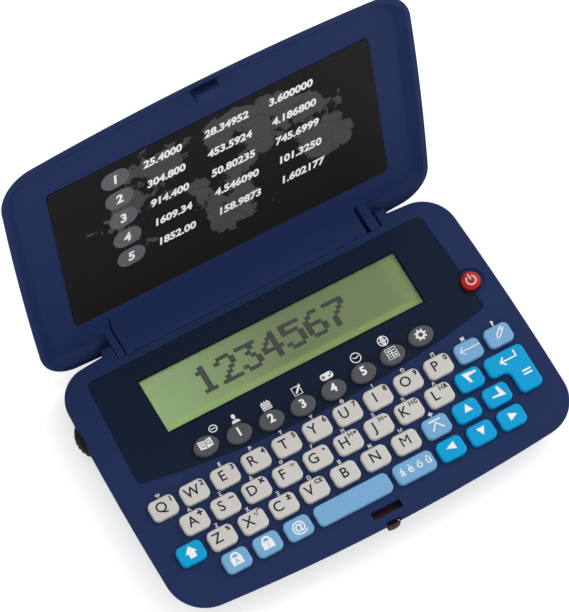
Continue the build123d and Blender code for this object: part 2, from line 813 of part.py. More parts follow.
# ---- contrast wheel ----------------------------------------------------------------------------------
with BuildPart() as contrast_wheel:
    with BuildSketch(Plane.XY.offset(wheel_z)):
        with Locations((wheel_x, wheel_y)):
            Circle(wheel_radius)
    extrude(amount=wheel_thickness)
    chamfer(contrast_wheel.edges().filter_by(GeomType.CIRCLE), length=wheel_chamfer)
    with BuildSketch(Plane.XY.offset(wheel_z)):
        with Locations((wheel_x, wheel_y)):
            Circle(wheel_pin_radius + wheel_fit)
            with PolarLocations(wheel_radius, wheel_notches):
                Circle(notch_radius)
    extrude(amount=wheel_thickness, mode=Mode.SUBTRACT)
contrast_wheel.part.label = "contrast_wheel"
export_step(contrast_wheel.part, "parts/contrast_wheel.step")

# ---- latch button: nose in the front notch, plate under the deck slot --------------------------------
with BuildPart() as latch_button:
    with BuildSketch(Plane.XY.offset(slider_z)):
        with Locations((latch_x, slider_rear)):
            Rectangle(slider_width, slider_rear - slider_front, align=(Align.CENTER, Align.MAX))
        with Locations((latch_x, slider_rear)):
            Rectangle(
                button_width, slider_rear - front_edge + button_proud - button_thickness,
                align=(Align.CENTER, Align.MAX),
            )
    extrude(amount=slider_thickness)
    nose_front = front_edge - button_proud
    with BuildSketch(Plane.XY.offset(slider_z)):
        with BuildLine():
            nose = ThreePointArc(
                (latch_x - button_width / 2, nose_front + button_thickness / 2),
                (latch_x, nose_front),
                (latch_x + button_width / 2, nose_front + button_thickness / 2),
            )
            Polyline(
                nose @ 1, (latch_x + button_width / 2, nose_front + button_thickness),
                (latch_x - button_width / 2, nose_front + button_thickness), nose @ 0,
            )
        make_face()
    extrude(amount=rim_z - button_drop - slider_z)
    fillet(latch_button.faces().sort_by(Axis.Z)[-1].edges(), radius=button_thickness / 4)
    # rib that pushes the barb off the deck's edge
    with BuildSketch(Plane.XY.offset(slider_z + slider_thickness)):
        with Locations((latch_x, barb_tip - pusher_gap)):
            Rectangle(button_width, pusher_thickness, align=(Align.CENTER, Align.MAX))
    extrude(amount=deck_underside - barb_gap - slider_z - slider_thickness)
latch_button.part.label = "latch_button"
export_step(latch_button.part, "parts/latch_button.step")

# ---- lid: tapered tray with the hinge barrel, snap finger, pins and hook -----------------------------
tray_taper = drafted_block(lid_rim_z, lid_wall, tray_floor_z, lid_wall + lid_draft * tray_depth, lid_rear)
lid_taper = drafted_block(
    lid_rim_z + lid_band, 0, lid_top_z, lid_draft * (lid_height - lid_band), lid_rear
)
lid_profile_plane = Plane.YZ.offset(barrel_left)
barrel_length = barrel_right - barrel_left

with BuildPart() as lid_tray:
    add(tray_taper)
    fillet(lid_tray.edges().group_by(Axis.Z)[-1], radius=tray_round)
    # the barrel's flat face bounds the tray between the ears
    with BuildSketch(lid_profile_plane):
        with Locations(Location((axis_y, axis_z), rest_opening)):
            with Locations((-4 * barrel_radius, axis_drop)):
                Rectangle(8 * barrel_radius, 2 * barrel_radius, align=(Align.MIN, Align.MAX))
    extrude(amount=barrel_length, mode=Mode.SUBTRACT)

with BuildPart() as lid_shell:
    add(lid_taper)
    with BuildSketch(Plane.XY.offset(lid_rim_z)):
        add(footprint(lid_rear, 0))
    extrude(amount=lid_band)
    fillet(lid_shell.edges().group_by(Axis.Z)[-1], radius=lid_round)
    add(lid_tray.part, mode=Mode.SUBTRACT)
    # barrel under the rim: flush with the deck when the lid is open
    with BuildSketch(lid_profile_plane) as barrel_profile:
        with Locations((axis_y, axis_z)):
            Circle(barrel_radius)
            Rectangle(
                2 * barrel_radius, lid_rim_z + lid_band - axis_z, align=(Align.CENTER, Align.MIN)
            )
        with Locations((axis_y + barrel_back, axis_z)):
            Rectangle(
                2 * barrel_radius, 4 * barrel_radius,
                align=(Align.MIN, Align.CENTER), mode=Mode.SUBTRACT,
            )
        with Locations(Location((axis_y, axis_z), rest_opening)):
            with Locations((0, axis_drop)):
                Rectangle(
                    8 * barrel_radius, 4 * barrel_radius,
                    align=(Align.CENTER, Align.MIN), mode=Mode.SUBTRACT,
                )
        fillet(barrel_profile.vertices().sort_by(Axis.Y)[0], radius=rim_round)
    extrude(amount=barrel_length)
    # slits that free the left finger and the right arm
    for slit_x, slit_width, slit_front, slit_rear, slit_z in (
        (
            left_slit_x, left_slit_width, axis_y - left_slit_length, lid_rear + rear_bow,
            tray_floor_z + left_slit_depth,
        ),
        (
            right_slit_x, right_slit_width, axis_y - slit_turn - barrel_radius,
            axis_y + right_slit_end, tray_floor_z,
        ),
    ):
        with BuildSketch(Plane.YZ.offset(slit_x - slit_width / 2)):
            with BuildLine():
                Polyline(
                    (slit_front, 0), (slit_front, slit_z), (axis_y - slit_turn, slit_z),
                    (axis_y - slit_turn, lid_rim_z), (slit_rear, lid_rim_z), (slit_rear, 0),
                    close=True,
                )
            make_face()
        extrude(amount=slit_width, mode=Mode.SUBTRACT)
    # hinge pins
    with BuildSketch(Plane.YZ.offset(recess_left - pin_bite)):
        with Locations((axis_y, axis_z)):
            Circle(pin_radius)
    extrude(amount=pin_bite + side_gap_left + pin_radius)
    with BuildSketch(Plane.YZ.offset(barrel_right - pin_radius)):
        with Locations((axis_y, axis_z)):
            Circle(pin_radius)
    extrude(amount=pin_radius + side_gap_right + pin_bite)
    round_edges = lid_shell.edges().filter_by(GeomType.CIRCLE)
    pin_ends = round_edges.filter_by(lambda edge: edge.radius == pin_radius).sort_by(Axis.X)
    chamfer([pin_ends[0], pin_ends[-1]], length=pin_chamfer)
    # latch hook with its barb
    with BuildSketch(Plane.YZ.offset(latch_x - hook_width / 2)):
        with BuildLine():
            Polyline(
                (hook_front, tray_floor_z + barb_bite), (hook_front, barb_top), (barb_tip, barb_top),
                (barb_tip, barb_top - barb_height), (hook_front + barb_bite, rim_z - hook_reach),
                (hook_rear, rim_z - hook_reach), (hook_rear, tray_floor_z + barb_bite), close=True,
            )
        make_face()
    extrude(amount=hook_width)
lid_shell.part = lid_shell.part.rotate(hinge_axis, -rest_opening)
lid_shell.part.label = "lid_shell"
export_step(lid_shell.part, "parts/lid_shell.step")

with BuildPart() as label_card:
    with BuildSketch(Plane.XY.offset(tray_floor_z - card_thickness)):
        with Locations((card_x, card_front + card_depth / 2)):
            RectangleRounded(card_width, card_depth, card_corner)
    extrude(amount=card_thickness)
label_card.part = label_card.part.rotate(hinge_axis, -rest_opening)
label_card.part.label = "label_card"
export_step(label_card.part, "parts/label_card.step")

# ---- coin cells, their door and the case screws -------------------------------------------------------
for name, cell_x in (("cell_left", -cell_offset), ("cell_right", cell_offset)):
    with BuildPart() as cell:
        with BuildSketch(Plane.XY.offset(cell_z)):
            with Locations((cell_x, cell_y)):
                Circle(cell_radius)
        extrude(amount=cell_thickness)
        fillet(cell.edges().group_by(Axis.Z)[0], radius=cell_thickness / 8)
    cell.part.label = name
    export_step(cell.part, f"parts/{name}.step")

with BuildPart() as battery_door:
    with BuildSketch(Plane.XY):
        with Locations((0, cell_y)):
            RectangleRounded(door_width, door_depth, door_corner)
    extrude(amount=door_thickness)
    with BuildSketch(Plane.XY.offset(door_thickness - tab_thickness)):
        with Locations((-door_width / 2, cell_y)):
            with GridLocations(0, door_depth / 2, 1, 2):
                Rectangle(2 * tab_reach, tab_width)
    extrude(amount=tab_thickness)
    with BuildSketch(Plane.XZ.offset(-cell_y - snap_length / 2)):
        with Locations((door_width / 2, door_thickness / 2)):
            Circle(snap_radius)
    extrude(amount=snap_length)
    with BuildSketch(Plane.XZ.offset(-cell_y - grip_length / 2)):
        with Locations((door_width / 3, 0)):
            with GridLocations(grip_spacing, 0, grip_count, 1):
                Circle(grip_radius)
    extrude(amount=grip_length, mode=Mode.SUBTRACT)
battery_door.part.label = "battery_door"
export_step(battery_door.part, "parts/battery_door.step")

with BuildPart() as case_screws:
    with BuildSketch(Plane.XY.offset(screw_recess_depth - screw_head_height)):
        with Locations(*screw_places):
            Circle(screw_head_radius)
    extrude(amount=screw_head_height)
    with BuildSketch(Plane.XY.offset(screw_recess_depth)):
        with Locations(*screw_places):
            Circle(screw_radius)
    extrude(amount=screw_length)
    # crossed driver slots
    with BuildSketch(Plane.XY.offset(screw_recess_depth - screw_head_height)):
        with Locations(*screw_places):
            Rectangle(2.4 * screw_radius, screw_slot)
            Rectangle(screw_slot, 2.4 * screw_radius)
    extrude(amount=screw_slot, mode=Mode.SUBTRACT)
case_screws.part.label = "case_screws"
export_step(case_screws.part, "parts/case_screws.step")
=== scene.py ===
from math import cos, hypot, pi, radians, sin
import bmesh
import bpy
from mathutils import Matrix, Vector


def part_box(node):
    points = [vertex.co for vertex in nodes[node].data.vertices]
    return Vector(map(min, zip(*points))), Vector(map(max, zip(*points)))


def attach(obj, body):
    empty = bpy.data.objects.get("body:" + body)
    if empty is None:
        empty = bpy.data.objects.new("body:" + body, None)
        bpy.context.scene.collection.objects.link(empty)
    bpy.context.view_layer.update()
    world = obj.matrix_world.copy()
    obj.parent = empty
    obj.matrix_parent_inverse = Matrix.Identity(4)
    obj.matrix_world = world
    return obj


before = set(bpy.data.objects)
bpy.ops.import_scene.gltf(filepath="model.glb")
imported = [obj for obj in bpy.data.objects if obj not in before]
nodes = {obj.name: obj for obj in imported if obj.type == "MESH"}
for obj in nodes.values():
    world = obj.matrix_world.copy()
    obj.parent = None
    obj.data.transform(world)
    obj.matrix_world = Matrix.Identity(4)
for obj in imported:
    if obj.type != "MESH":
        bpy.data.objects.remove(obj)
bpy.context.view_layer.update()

# ---- the table, the light and the view -----------------------------------------------------------
# A plain pale sheet under the open dictionary, a broad soft lamp high over its right rear corner, a
# second one in front of it and an even white sky. Nothing here belongs to the object.
MM = 0.001


def tone(red, green, blue):
    """A colour written in 0-255 display values."""
    def level(value):
        value /= 255
        return value / 12.92 if value <= 0.04045 else ((value + 0.055) / 1.055) ** 2.4
    return (level(red), level(green), level(blue), 1.0)


def new_finish(name):
    """An empty material and its node tree, with the output in place."""
    finish = bpy.data.materials.new(name)
    finish.use_nodes = True
    tree = finish.node_tree
    tree.nodes.clear()
    return finish, tree, tree.nodes.new("ShaderNodeOutputMaterial")


def node(tree, kind, inputs=(), **settings):
    """A node with its settings, and values or links for its input sockets."""
    made = tree.nodes.new(kind)
    for key, value in settings.items():
        setattr(made, key, value)
    for key, value in dict(inputs).items():
        if isinstance(value, bpy.types.NodeSocket):
            tree.links.new(value, made.inputs[key])
        else:
            made.inputs[key].default_value = value
    return made


def maths(tree, operation, *values):
    """One step of arithmetic on numbers and links; gives the link of its result."""
    return node(tree, "ShaderNodeMath", enumerate(values), operation=operation).outputs[0]


def blend(tree, factor, first, second):
    """Mixes two colours."""
    return node(tree, "ShaderNodeMix", {"Factor": factor, "A": first, "B": second},
                data_type="RGBA").outputs[2]


# a long lens, from 1.5 m away above the front left
view = bpy.data.cameras.new("view")
view.lens = 307.8
view.sensor_width = 36
view.clip_start, view.clip_end = 0.05, 50
view_point = bpy.data.objects.new("view", view)
view_point.matrix_world = Matrix((
    (0.86581, 0.43965, -0.23891, -0.3515),
    (-0.49806, 0.80304, -0.32719, -0.4613),
    (0.04800, 0.40228, 0.91426, 1.3806),
    (0, 0, 0, 1),
))
bpy.context.scene.collection.objects.link(view_point)
bpy.context.scene.camera = view_point
bpy.context.scene.view_settings.view_transform = "Standard"

table_finish, tree, out = new_finish("table sheet")
path = node(tree, "ShaderNodeLightPath")
sheet_grain = node(tree, "ShaderNodeTexNoise", {
    "Vector": node(tree, "ShaderNodeTexCoord").outputs["Object"], "Scale": 40.0, "Detail": 3.0})
sheet_tone = blend(tree, sheet_grain.outputs["Fac"], tone(246, 246, 246), tone(250, 250, 250))
sheet = node(tree, "ShaderNodeBsdfDiffuse", {"Color": sheet_tone})
# where it is looked at the sheet is lifted towards white, so only the shadow stands out on it
lift = node(tree, "ShaderNodeEmission", {"Color": (1, 1, 1, 1), "Strength": 0.45})
lifted = node(tree, "ShaderNodeAddShader", {0: sheet.outputs[0], 1: lift.outputs[0]})
seen = node(tree, "ShaderNodeMixShader", {
    0: path.outputs["Is Camera Ray"], 1: sheet.outputs[0], 2: lifted.outputs[0]})
tree.links.new(seen.outputs[0], out.inputs["Surface"])
table = bpy.data.meshes.new("table")
table.from_pydata([(-6, -6, -0.0002), (6, -6, -0.0002), (6, 6, -0.0002), (-6, 6, -0.0002)], [],
                  [(0, 1, 2, 3)])
table.materials.append(table_finish)
table = bpy.data.objects.new("table", table)
bpy.context.scene.collection.objects.link(table)

sky = bpy.data.worlds.new("sky")
sky.use_nodes = True
tree = sky.node_tree
tree.nodes.clear()
# white where it is looked at, dimmer as a source of light
path = node(tree, "ShaderNodeLightPath")
looked_at = maths(tree, "MAXIMUM", path.outputs["Is Camera Ray"],
                  path.outputs["Is Transmission Ray"])
level = node(tree, "ShaderNodeMix", {0: looked_at, 2: 0.62, 3: 1.0}, data_type="FLOAT")
air = node(tree, "ShaderNodeBackground", {"Color": (1, 1, 1, 1), "Strength": level.outputs[0]})
tree.links.new(air.outputs[0], node(tree, "ShaderNodeOutputWorld").inputs[0])
bpy.context.scene.world = sky

for name, place, aim, size, power in (
    ("rear lamp", (1.15, 0.55, 0.95), (0, 0, 0), 1.5, 9.1),
    ("front lamp", (-0.5, -1.3, 0.8), (0, 0.03, 0.03), 1.8, 5.7),
):
    lamp = bpy.data.lights.new(name, "AREA")
    lamp.shape = "DISK"
    lamp.size = size
    lamp.energy = power
    lamp_point = bpy.data.objects.new(name, lamp)
    lamp_point.location = place
    lamp_point.rotation_euler = (Vector(place) - Vector(aim)).to_track_quat("Z", "Y").to_euler()
    bpy.context.scene.collection.objects.link(lamp_point)

# ---- lower case ----------------------------------------------------------------------------------
# The tub that takes the battery, the board and the screws: navy ABS, injection moulded in a
# spark-eroded mould, which leaves a fine even grain on the skirt and the underside.


def new_group(name, inputs, outputs):
    """A shader group with named inputs (name, kind, default) and outputs (name, kind)."""
    group = bpy.data.node_groups.new(name, "ShaderNodeTree")
    for label, kind, value in inputs:
        socket = group.interface.new_socket(label, in_out="INPUT", socket_type=kind)
        socket.default_value = value
    for label, kind in outputs:
        group.interface.new_socket(label, in_out="OUTPUT", socket_type=kind)
    return group, group.nodes.new("NodeGroupInput"), group.nodes.new("NodeGroupOutput")


def ramp(tree, value, start, end, low=0.0, high=1.0, ease="LINEAR"):
    """Turns a value that runs from start to end into one that runs from low to high."""
    return node(tree, "ShaderNodeMapRange", {
        "Value": value, "From Min": start, "From Max": end, "To Min": low, "To Max": high},
        interpolation_type=ease).outputs[0]


# grain of a moulded or cast surface: tone, roughness and height that change over it
grain_group, given, result = new_group(
    "moulded grain",
    [("Color", "NodeSocketColor", (0.5, 0.5, 0.5, 1)), ("Roughness", "NodeSocketFloat", 0.5),
     ("Grain Size", "NodeSocketFloat", 0.3), ("Tone Spread", "NodeSocketFloat", 0.06)],
    [("Color", "NodeSocketColor"), ("Roughness", "NodeSocketFloat"), ("Height", "NodeSocketFloat")],
)
place = node(grain_group, "ShaderNodeTexCoord").outputs["Object"]
pits = node(grain_group, "ShaderNodeTexNoise", {
    "Vector": place, "Scale": maths(grain_group, "DIVIDE", 1 / MM, given.outputs["Grain Size"]),
    "Detail": 2.0, "Roughness": 0.6})
flow = node(grain_group, "ShaderNodeTexNoise", {
    "Vector": place, "Scale": 34.0, "Detail": 3.0, "Roughness": 0.55})
# the tone swings by the spread round its middle, once with the flow and once with the pits
spread = given.outputs["Tone Spread"]
swing = maths(grain_group, "MULTIPLY_ADD", flow.outputs["Fac"], spread, 1.0)
sparkle = maths(grain_group, "MULTIPLY_ADD", pits.outputs["Fac"], spread, swing)
toned = node(grain_group, "ShaderNodeVectorMath", {
    0: given.outputs["Color"], "Scale": maths(grain_group, "SUBTRACT", sparkle, spread)},
    operation="SCALE")
rough_spread = 0.16
rough = maths(grain_group, "MULTIPLY_ADD", pits.outputs["Fac"], rough_spread,
              given.outputs["Roughness"])
rough_level = maths(grain_group, "SUBTRACT", rough, rough_spread / 2)
for output, link in (("Color", toned.outputs[0]), ("Roughness", rough_level),
                     ("Height", pits.outputs["Fac"])):
    grain_group.links.new(link, result.inputs[output])

# rubbed places and fine scuffs from being carried: a mask that is 0 on untouched surface
wear_group, given, result = new_group(
    "handling wear",
    [("Scuff Size", "NodeSocketFloat", 9.0), ("Amount", "NodeSocketFloat", 0.5)],
    [("Mask", "NodeSocketFloat")],
)
place = node(wear_group, "ShaderNodeTexCoord").outputs["Object"]
patches = node(wear_group, "ShaderNodeTexNoise", {
    "Vector": place, "Scale": maths(wear_group, "DIVIDE", 1 / MM, given.outputs["Scuff Size"]),
    "Detail": 4.0, "Roughness": 0.65})
lines = node(wear_group, "ShaderNodeTexNoise", {
    "Vector": node(wear_group, "ShaderNodeMapping", {
        "Vector": place, "Rotation": (0.3, 0.5, 0.7), "Scale": (60, 900, 300)}).outputs[0],
    "Scale": 1.0, "Detail": 2.0})
scuffed = maths(wear_group, "MULTIPLY", ramp(wear_group, patches.outputs["Fac"], 0.52, 0.78),
                ramp(wear_group, lines.outputs["Fac"], 0.6, 0.75))
wear_group.links.new(maths(wear_group, "MULTIPLY", scuffed, given.outputs["Amount"]),
                     result.inputs["Mask"])


def grained(tree, colour, roughness, grain_size=0.3, tone_spread=0.06):
    """The grain over a colour, which may be a link; the size is in mm."""
    return node(tree, "ShaderNodeGroup", {
        "Color": colour, "Roughness": roughness, "Grain Size": grain_size,
        "Tone Spread": tone_spread}, node_tree=grain_group)


def raised(tree, height, strength, distance):
    """The bend of light on a surface in relief; the distance is in mm."""
    return node(tree, "ShaderNodeBump", {
        "Height": height, "Strength": strength, "Distance": distance * MM}).outputs[0]


def skin(tree, grain, sockets):
    """A surface with the grain's colour and roughness and the other sockets given."""
    return node(tree, "ShaderNodeBsdfPrincipled", {
        "Base Color": grain.outputs["Color"], "Roughness": grain.outputs["Roughness"], **sockets})


def moulded(name, colour, roughness, grain_size=0.3, relief=0.02, wear=0.4, gloss=0.25,
            tone_spread=0.06):
    """Moulded plastic or rubber with its grain in tone, gloss and relief, and faint scuffs."""
    finish, tree, out = new_finish(name)
    grain = grained(tree, colour, roughness, grain_size, tone_spread)
    scuffs = node(tree, "ShaderNodeGroup", {"Amount": wear}, node_tree=wear_group).outputs["Mask"]
    rubbed = tuple(min(1.0, part * 1.8 + 0.01) for part in colour[:3]) + (1.0,)
    shine = node(tree, "ShaderNodeMix", {
        0: scuffs, 2: grain.outputs["Roughness"], 3: roughness * 0.6})
    surface = skin(tree, grain, {
        "Base Color": blend(tree, scuffs, grain.outputs["Color"], rubbed),
        "Roughness": shine.outputs[0], "Specular IOR Level": gloss,
        "Normal": raised(tree, grain.outputs["Height"], 0.35, relief)})
    tree.links.new(surface.outputs[0], out.inputs["Surface"])
    return finish


def dress(name, finish):
    """Gives a carried-over solid its finish."""
    solid = nodes[name].data
    solid.materials.clear()
    solid.materials.append(finish)


case_navy = moulded("case navy", tone(34, 50, 92), 0.55, relief=0.03, gloss=0.1)
dress("lower_case", case_navy)

# ---- coin cells ----------------------------------------------------------------------------------
# Two lithium coin cells side by side: stamped cans of nickel-plated steel, with the faint rings of
# the press tool, dropped into the well from below.
low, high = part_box("cell_right")
cell_axis = ((low.x + high.x) / 2, (low.y + high.y) / 2, 0)
cell_steel, tree, out = new_finish("cell steel")
place = node(tree, "ShaderNodeTexCoord").outputs["Object"]
mirrored = node(tree, "ShaderNodeVectorMath", {0: place}, operation="ABSOLUTE")
from_axis = node(tree, "ShaderNodeVectorMath", {0: mirrored.outputs[0], 1: cell_axis},
                 operation="SUBTRACT")
rings = node(tree, "ShaderNodeTexWave", {
    "Vector": from_axis.outputs[0], "Scale": 800.0, "Distortion": 0.4},
    wave_type="RINGS", rings_direction="Z")
surface = skin(tree, grained(tree, tone(205, 206, 208), 0.3, grain_size=0.8), {
    "Metallic": 1.0, "Normal": raised(tree, rings.outputs["Fac"], 0.2, 0.01)})
tree.links.new(surface.outputs[0], out.inputs["Surface"])
dress("cell_left", cell_steel)
dress("cell_right", cell_steel)

# ---- circuit board -------------------------------------------------------------------------------
# Glass-fibre board under green solder mask, with tinned tracks running in straight lanes and the
# processor under a black blob. It stands on the posts and is held down by the screw bosses.
board_green, tree, out = new_finish("board green")
place = node(tree, "ShaderNodeTexCoord").outputs["Object"]
lanes = node(tree, "ShaderNodeTexBrick", {
    "Vector": place, "Color1": tone(24, 88, 48), "Color2": tone(30, 102, 54),
    "Mortar": tone(78, 140, 72), "Scale": 170.0, "Mortar Size": 0.05, "Brick Width": 2.4,
    "Row Height": 0.22, "Bias": 0.2}, offset=0.37)
surface = skin(tree, grained(tree, lanes.outputs["Color"], 0.38), {
    "Normal": raised(tree, lanes.outputs["Fac"], 0.3, 0.03), "Specular IOR Level": 0.4})
tree.links.new(surface.outputs[0], out.inputs["Surface"])
dress("circuit_board", board_green)

# ---- display -------------------------------------------------------------------------------------
# Two plies of glass round a liquid-crystal layer over an olive reflector, joined to the board by a
# strip of layered conducting rubber. Square dots are driven dark to write the figures.
strip_rubber, tree, out = new_finish("contact rubber")
place = node(tree, "ShaderNodeTexCoord").outputs["Object"]
layers = node(tree, "ShaderNodeTexWave", {"Vector": place, "Scale": 900.0}, bands_direction="X")
stripe = blend(tree, layers.outputs["Fac"], tone(40, 34, 36), tone(222, 130, 130))
surface = skin(tree, grained(tree, stripe, 0.7), {"Specular IOR Level": 0.3})
tree.links.new(surface.outputs[0], out.inputs["Surface"])
dress("zebra_strip", strip_rubber)

window_low, window_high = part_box("screen_lens")
display_glass, tree, out = new_finish("display glass")
place = node(tree, "ShaderNodeTexCoord").outputs["Object"]
axes = node(tree, "ShaderNodeSeparateXYZ", {0: place})
# painted light: lighter at the left, and brighter still along the front, left and right rims of the
# window, with patches of painted reflection towards the right
lit_left_tone = blend(tree, ramp(tree, axes.outputs["X"], window_low.x, 2.0 * MM),
                  tone(149, 178, 119), tone(95, 113, 53))
front_rim = ramp(tree, axes.outputs["Y"], window_low.y + 4.9 * MM, window_low.y + 3.3 * MM,
                 ease="SMOOTHSTEP")
left_rim = ramp(tree, axes.outputs["X"], window_low.x + 3.8 * MM, window_low.x + 2.0 * MM,
                ease="SMOOTHSTEP")
right_rim = ramp(tree, axes.outputs["X"], window_high.x - 8.0 * MM, window_high.x - 3.0 * MM,
                 ease="SMOOTHSTEP")
# painted reflection: pale mottled patches near the right end of the window
reflection_noise = node(tree, "ShaderNodeTexNoise", {"Vector": place, "Scale": 260.0, "Detail": 3.0})
painted_reflection_right = maths(tree, "MULTIPLY", right_rim, reflection_noise.outputs["Fac"])
painted_rim_light = maths(tree, "MAXIMUM", maths(tree, "MAXIMUM", front_rim, left_rim), painted_reflection_right)
# the painted light and reflection lift the rims towards a pale yellow-green
lit = blend(tree, maths(tree, "MULTIPLY", painted_rim_light, 0.3), lit_left_tone, tone(176, 208, 84))
# clear electrodes, just visible as a faint square mesh of paler gaps
electrode_gaps = node(tree, "ShaderNodeTexBrick", {
    "Vector": place, "Color1": (1, 1, 1, 1), "Color2": (1, 1, 1, 1),
    "Mortar": (1.1, 1.1, 1.05, 1), "Scale": 1 / MM, "Mortar Size": 0.06, "Brick Width": 0.6,
    "Row Height": 0.6}, offset=0.0)
meshed = node(tree, "ShaderNodeVectorMath", {0: lit, 1: electrode_gaps.outputs["Color"]},
              operation="MULTIPLY")
grain = grained(tree, meshed.outputs[0], 0.3, grain_size=0.5, tone_spread=0.05)
surface = skin(tree, grain, {"Specular IOR Level": 0.3})
tree.links.new(surface.outputs[0], out.inputs["Surface"])
dress("lcd_panel", display_glass)

# dot patterns of the figures, five columns by seven rows
figure_dots = {
    "1": ("00100", "01100", "00100", "00100", "00100", "00100", "01110"),
    "2": ("01110", "10001", "00001", "00010", "00100", "01000", "11111"),
    "3": ("11111", "00010", "00100", "00010", "00001", "10001", "01110"),
    "4": ("00010", "00110", "01010", "10010", "11111", "00010", "00010"),
    "5": ("11111", "10000", "11110", "00001", "00001", "10001", "01110"),
    "6": ("00110", "01000", "10000", "11110", "10001", "10001", "01110"),
    "7": ("11111", "00001", "00010", "00100", "01000", "01000", "01000"),
}
dot_pitch = 0.6 * MM
figure_pitch, figure_height = 12, 14  # in dots of the display
row_x, row_y = -27.0 * MM, 16.2 * MM  # front left corner of the row of figures
lit_dots = set()
for place_in_row, rows in enumerate(figure_dots.values()):
    for row, dots in enumerate(rows):
        for column, dot in enumerate(dots):
            if dot == "1":
                # each dot of a pattern is three by two dots of the display, lapped sideways
                for step_x, step_y in ((0, 0), (1, 0), (2, 0), (0, 1), (1, 1), (2, 1)):
                    lit_dots.add((
                        row_x + (place_in_row * figure_pitch + column * 2 + step_x) * dot_pitch,
                        row_y + (figure_height - row * 2 - step_y) * dot_pitch,
                    ))


def new_shape_tree(name, inputs):
    """A Geometry Nodes tree with a Geometry input, named size inputs and one output."""
    shape_tree = bpy.data.node_groups.new(name, "GeometryNodeTree")
    shape_tree.interface.new_socket("Geometry", in_out="INPUT", socket_type="NodeSocketGeometry")
    for label, kind in inputs:
        shape_tree.interface.new_socket(label, in_out="INPUT", socket_type=kind)
    shape_tree.interface.new_socket("Geometry", in_out="OUTPUT", socket_type="NodeSocketGeometry")
    return (shape_tree, shape_tree.nodes.new("NodeGroupInput"),
            shape_tree.nodes.new("NodeGroupOutput"))


def grow(name, mesh, shape_tree, values):
    """Runs a shape tree on a mesh and keeps the result as a plain mesh at the origin."""
    seed = bpy.data.objects.new(name, mesh)
    bpy.context.scene.collection.objects.link(seed)
    modifier = seed.modifiers.new(name, "NODES")
    modifier.node_group = shape_tree
    for item in shape_tree.interface.items_tree:
        if item.in_out == "INPUT" and item.name in values:
            modifier[item.identifier] = values[item.name]
    bpy.context.view_layer.update()
    settled = seed.evaluated_get(bpy.context.evaluated_depsgraph_get())
    grown = bpy.data.meshes.new_from_object(settled)
    seed.modifiers.remove(modifier)
    seed.data = grown
    bpy.data.meshes.remove(mesh)
    return seed


# a square dot on each point of a mesh
dot_tree, given, result = new_shape_tree(
    "display dots", [("Dot", "NodeSocketFloat"), ("Finish", "NodeSocketMaterial")])
square = node(dot_tree, "GeometryNodeMeshGrid", {
    "Size X": given.outputs["Dot"], "Size Y": given.outputs["Dot"], "Vertices X": 2,
    "Vertices Y": 2})
stamped = node(dot_tree, "GeometryNodeInstanceOnPoints", {
    "Points": given.outputs["Geometry"], "Instance": square.outputs["Mesh"]})
real = node(dot_tree, "GeometryNodeRealizeInstances", {"Geometry": stamped.outputs[0]})
inked = node(dot_tree, "GeometryNodeSetMaterial", {
    "Geometry": real.outputs[0], "Material": given.outputs["Finish"]})
dot_tree.links.new(inked.outputs[0], result.inputs[0])

dot_dark = moulded("driven dots", tone(3, 14, 12), 0.5, wear=0.0, gloss=0.0, tone_spread=0.1)
dot_points = bpy.data.meshes.new("dot points")
dot_points.from_pydata(
    [(x, y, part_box("lcd_panel")[1].z + 0.03 * MM) for x, y in sorted(lit_dots)], [], [])
display_dots = grow("display_dots", dot_points, dot_tree, {"Dot": 0.57 * MM, "Finish": dot_dark})
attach(display_dots, "case")

# ---- keypad mat ----------------------------------------------------------------------------------
# One sheet of grey silicone, compression moulded with a conducting pip under each key. It lies on
# the board and pushes every key back up.
dress("keypad_mat", moulded("mat rubber", tone(140, 141, 143), 0.68, grain_size=0.6, relief=0.01))

# ---- keys ----------------------------------------------------------------------------------------
# Hard caps moulded in warm grey, light blue and bright blue ABS, each clipped under the deck by its
# flange. Letters, figures and signs are pad printed on the caps in black or white ink.


def ink(name, colour):
    """Printing ink: a thin, nearly even film with slight thin spots."""
    return moulded(name, colour, 0.5, grain_size=0.12, relief=0.004, wear=0.0, tone_spread=0.08)


black_ink = ink("black ink", tone(22, 20, 22))
white_ink = ink("white ink", tone(254, 254, 255))


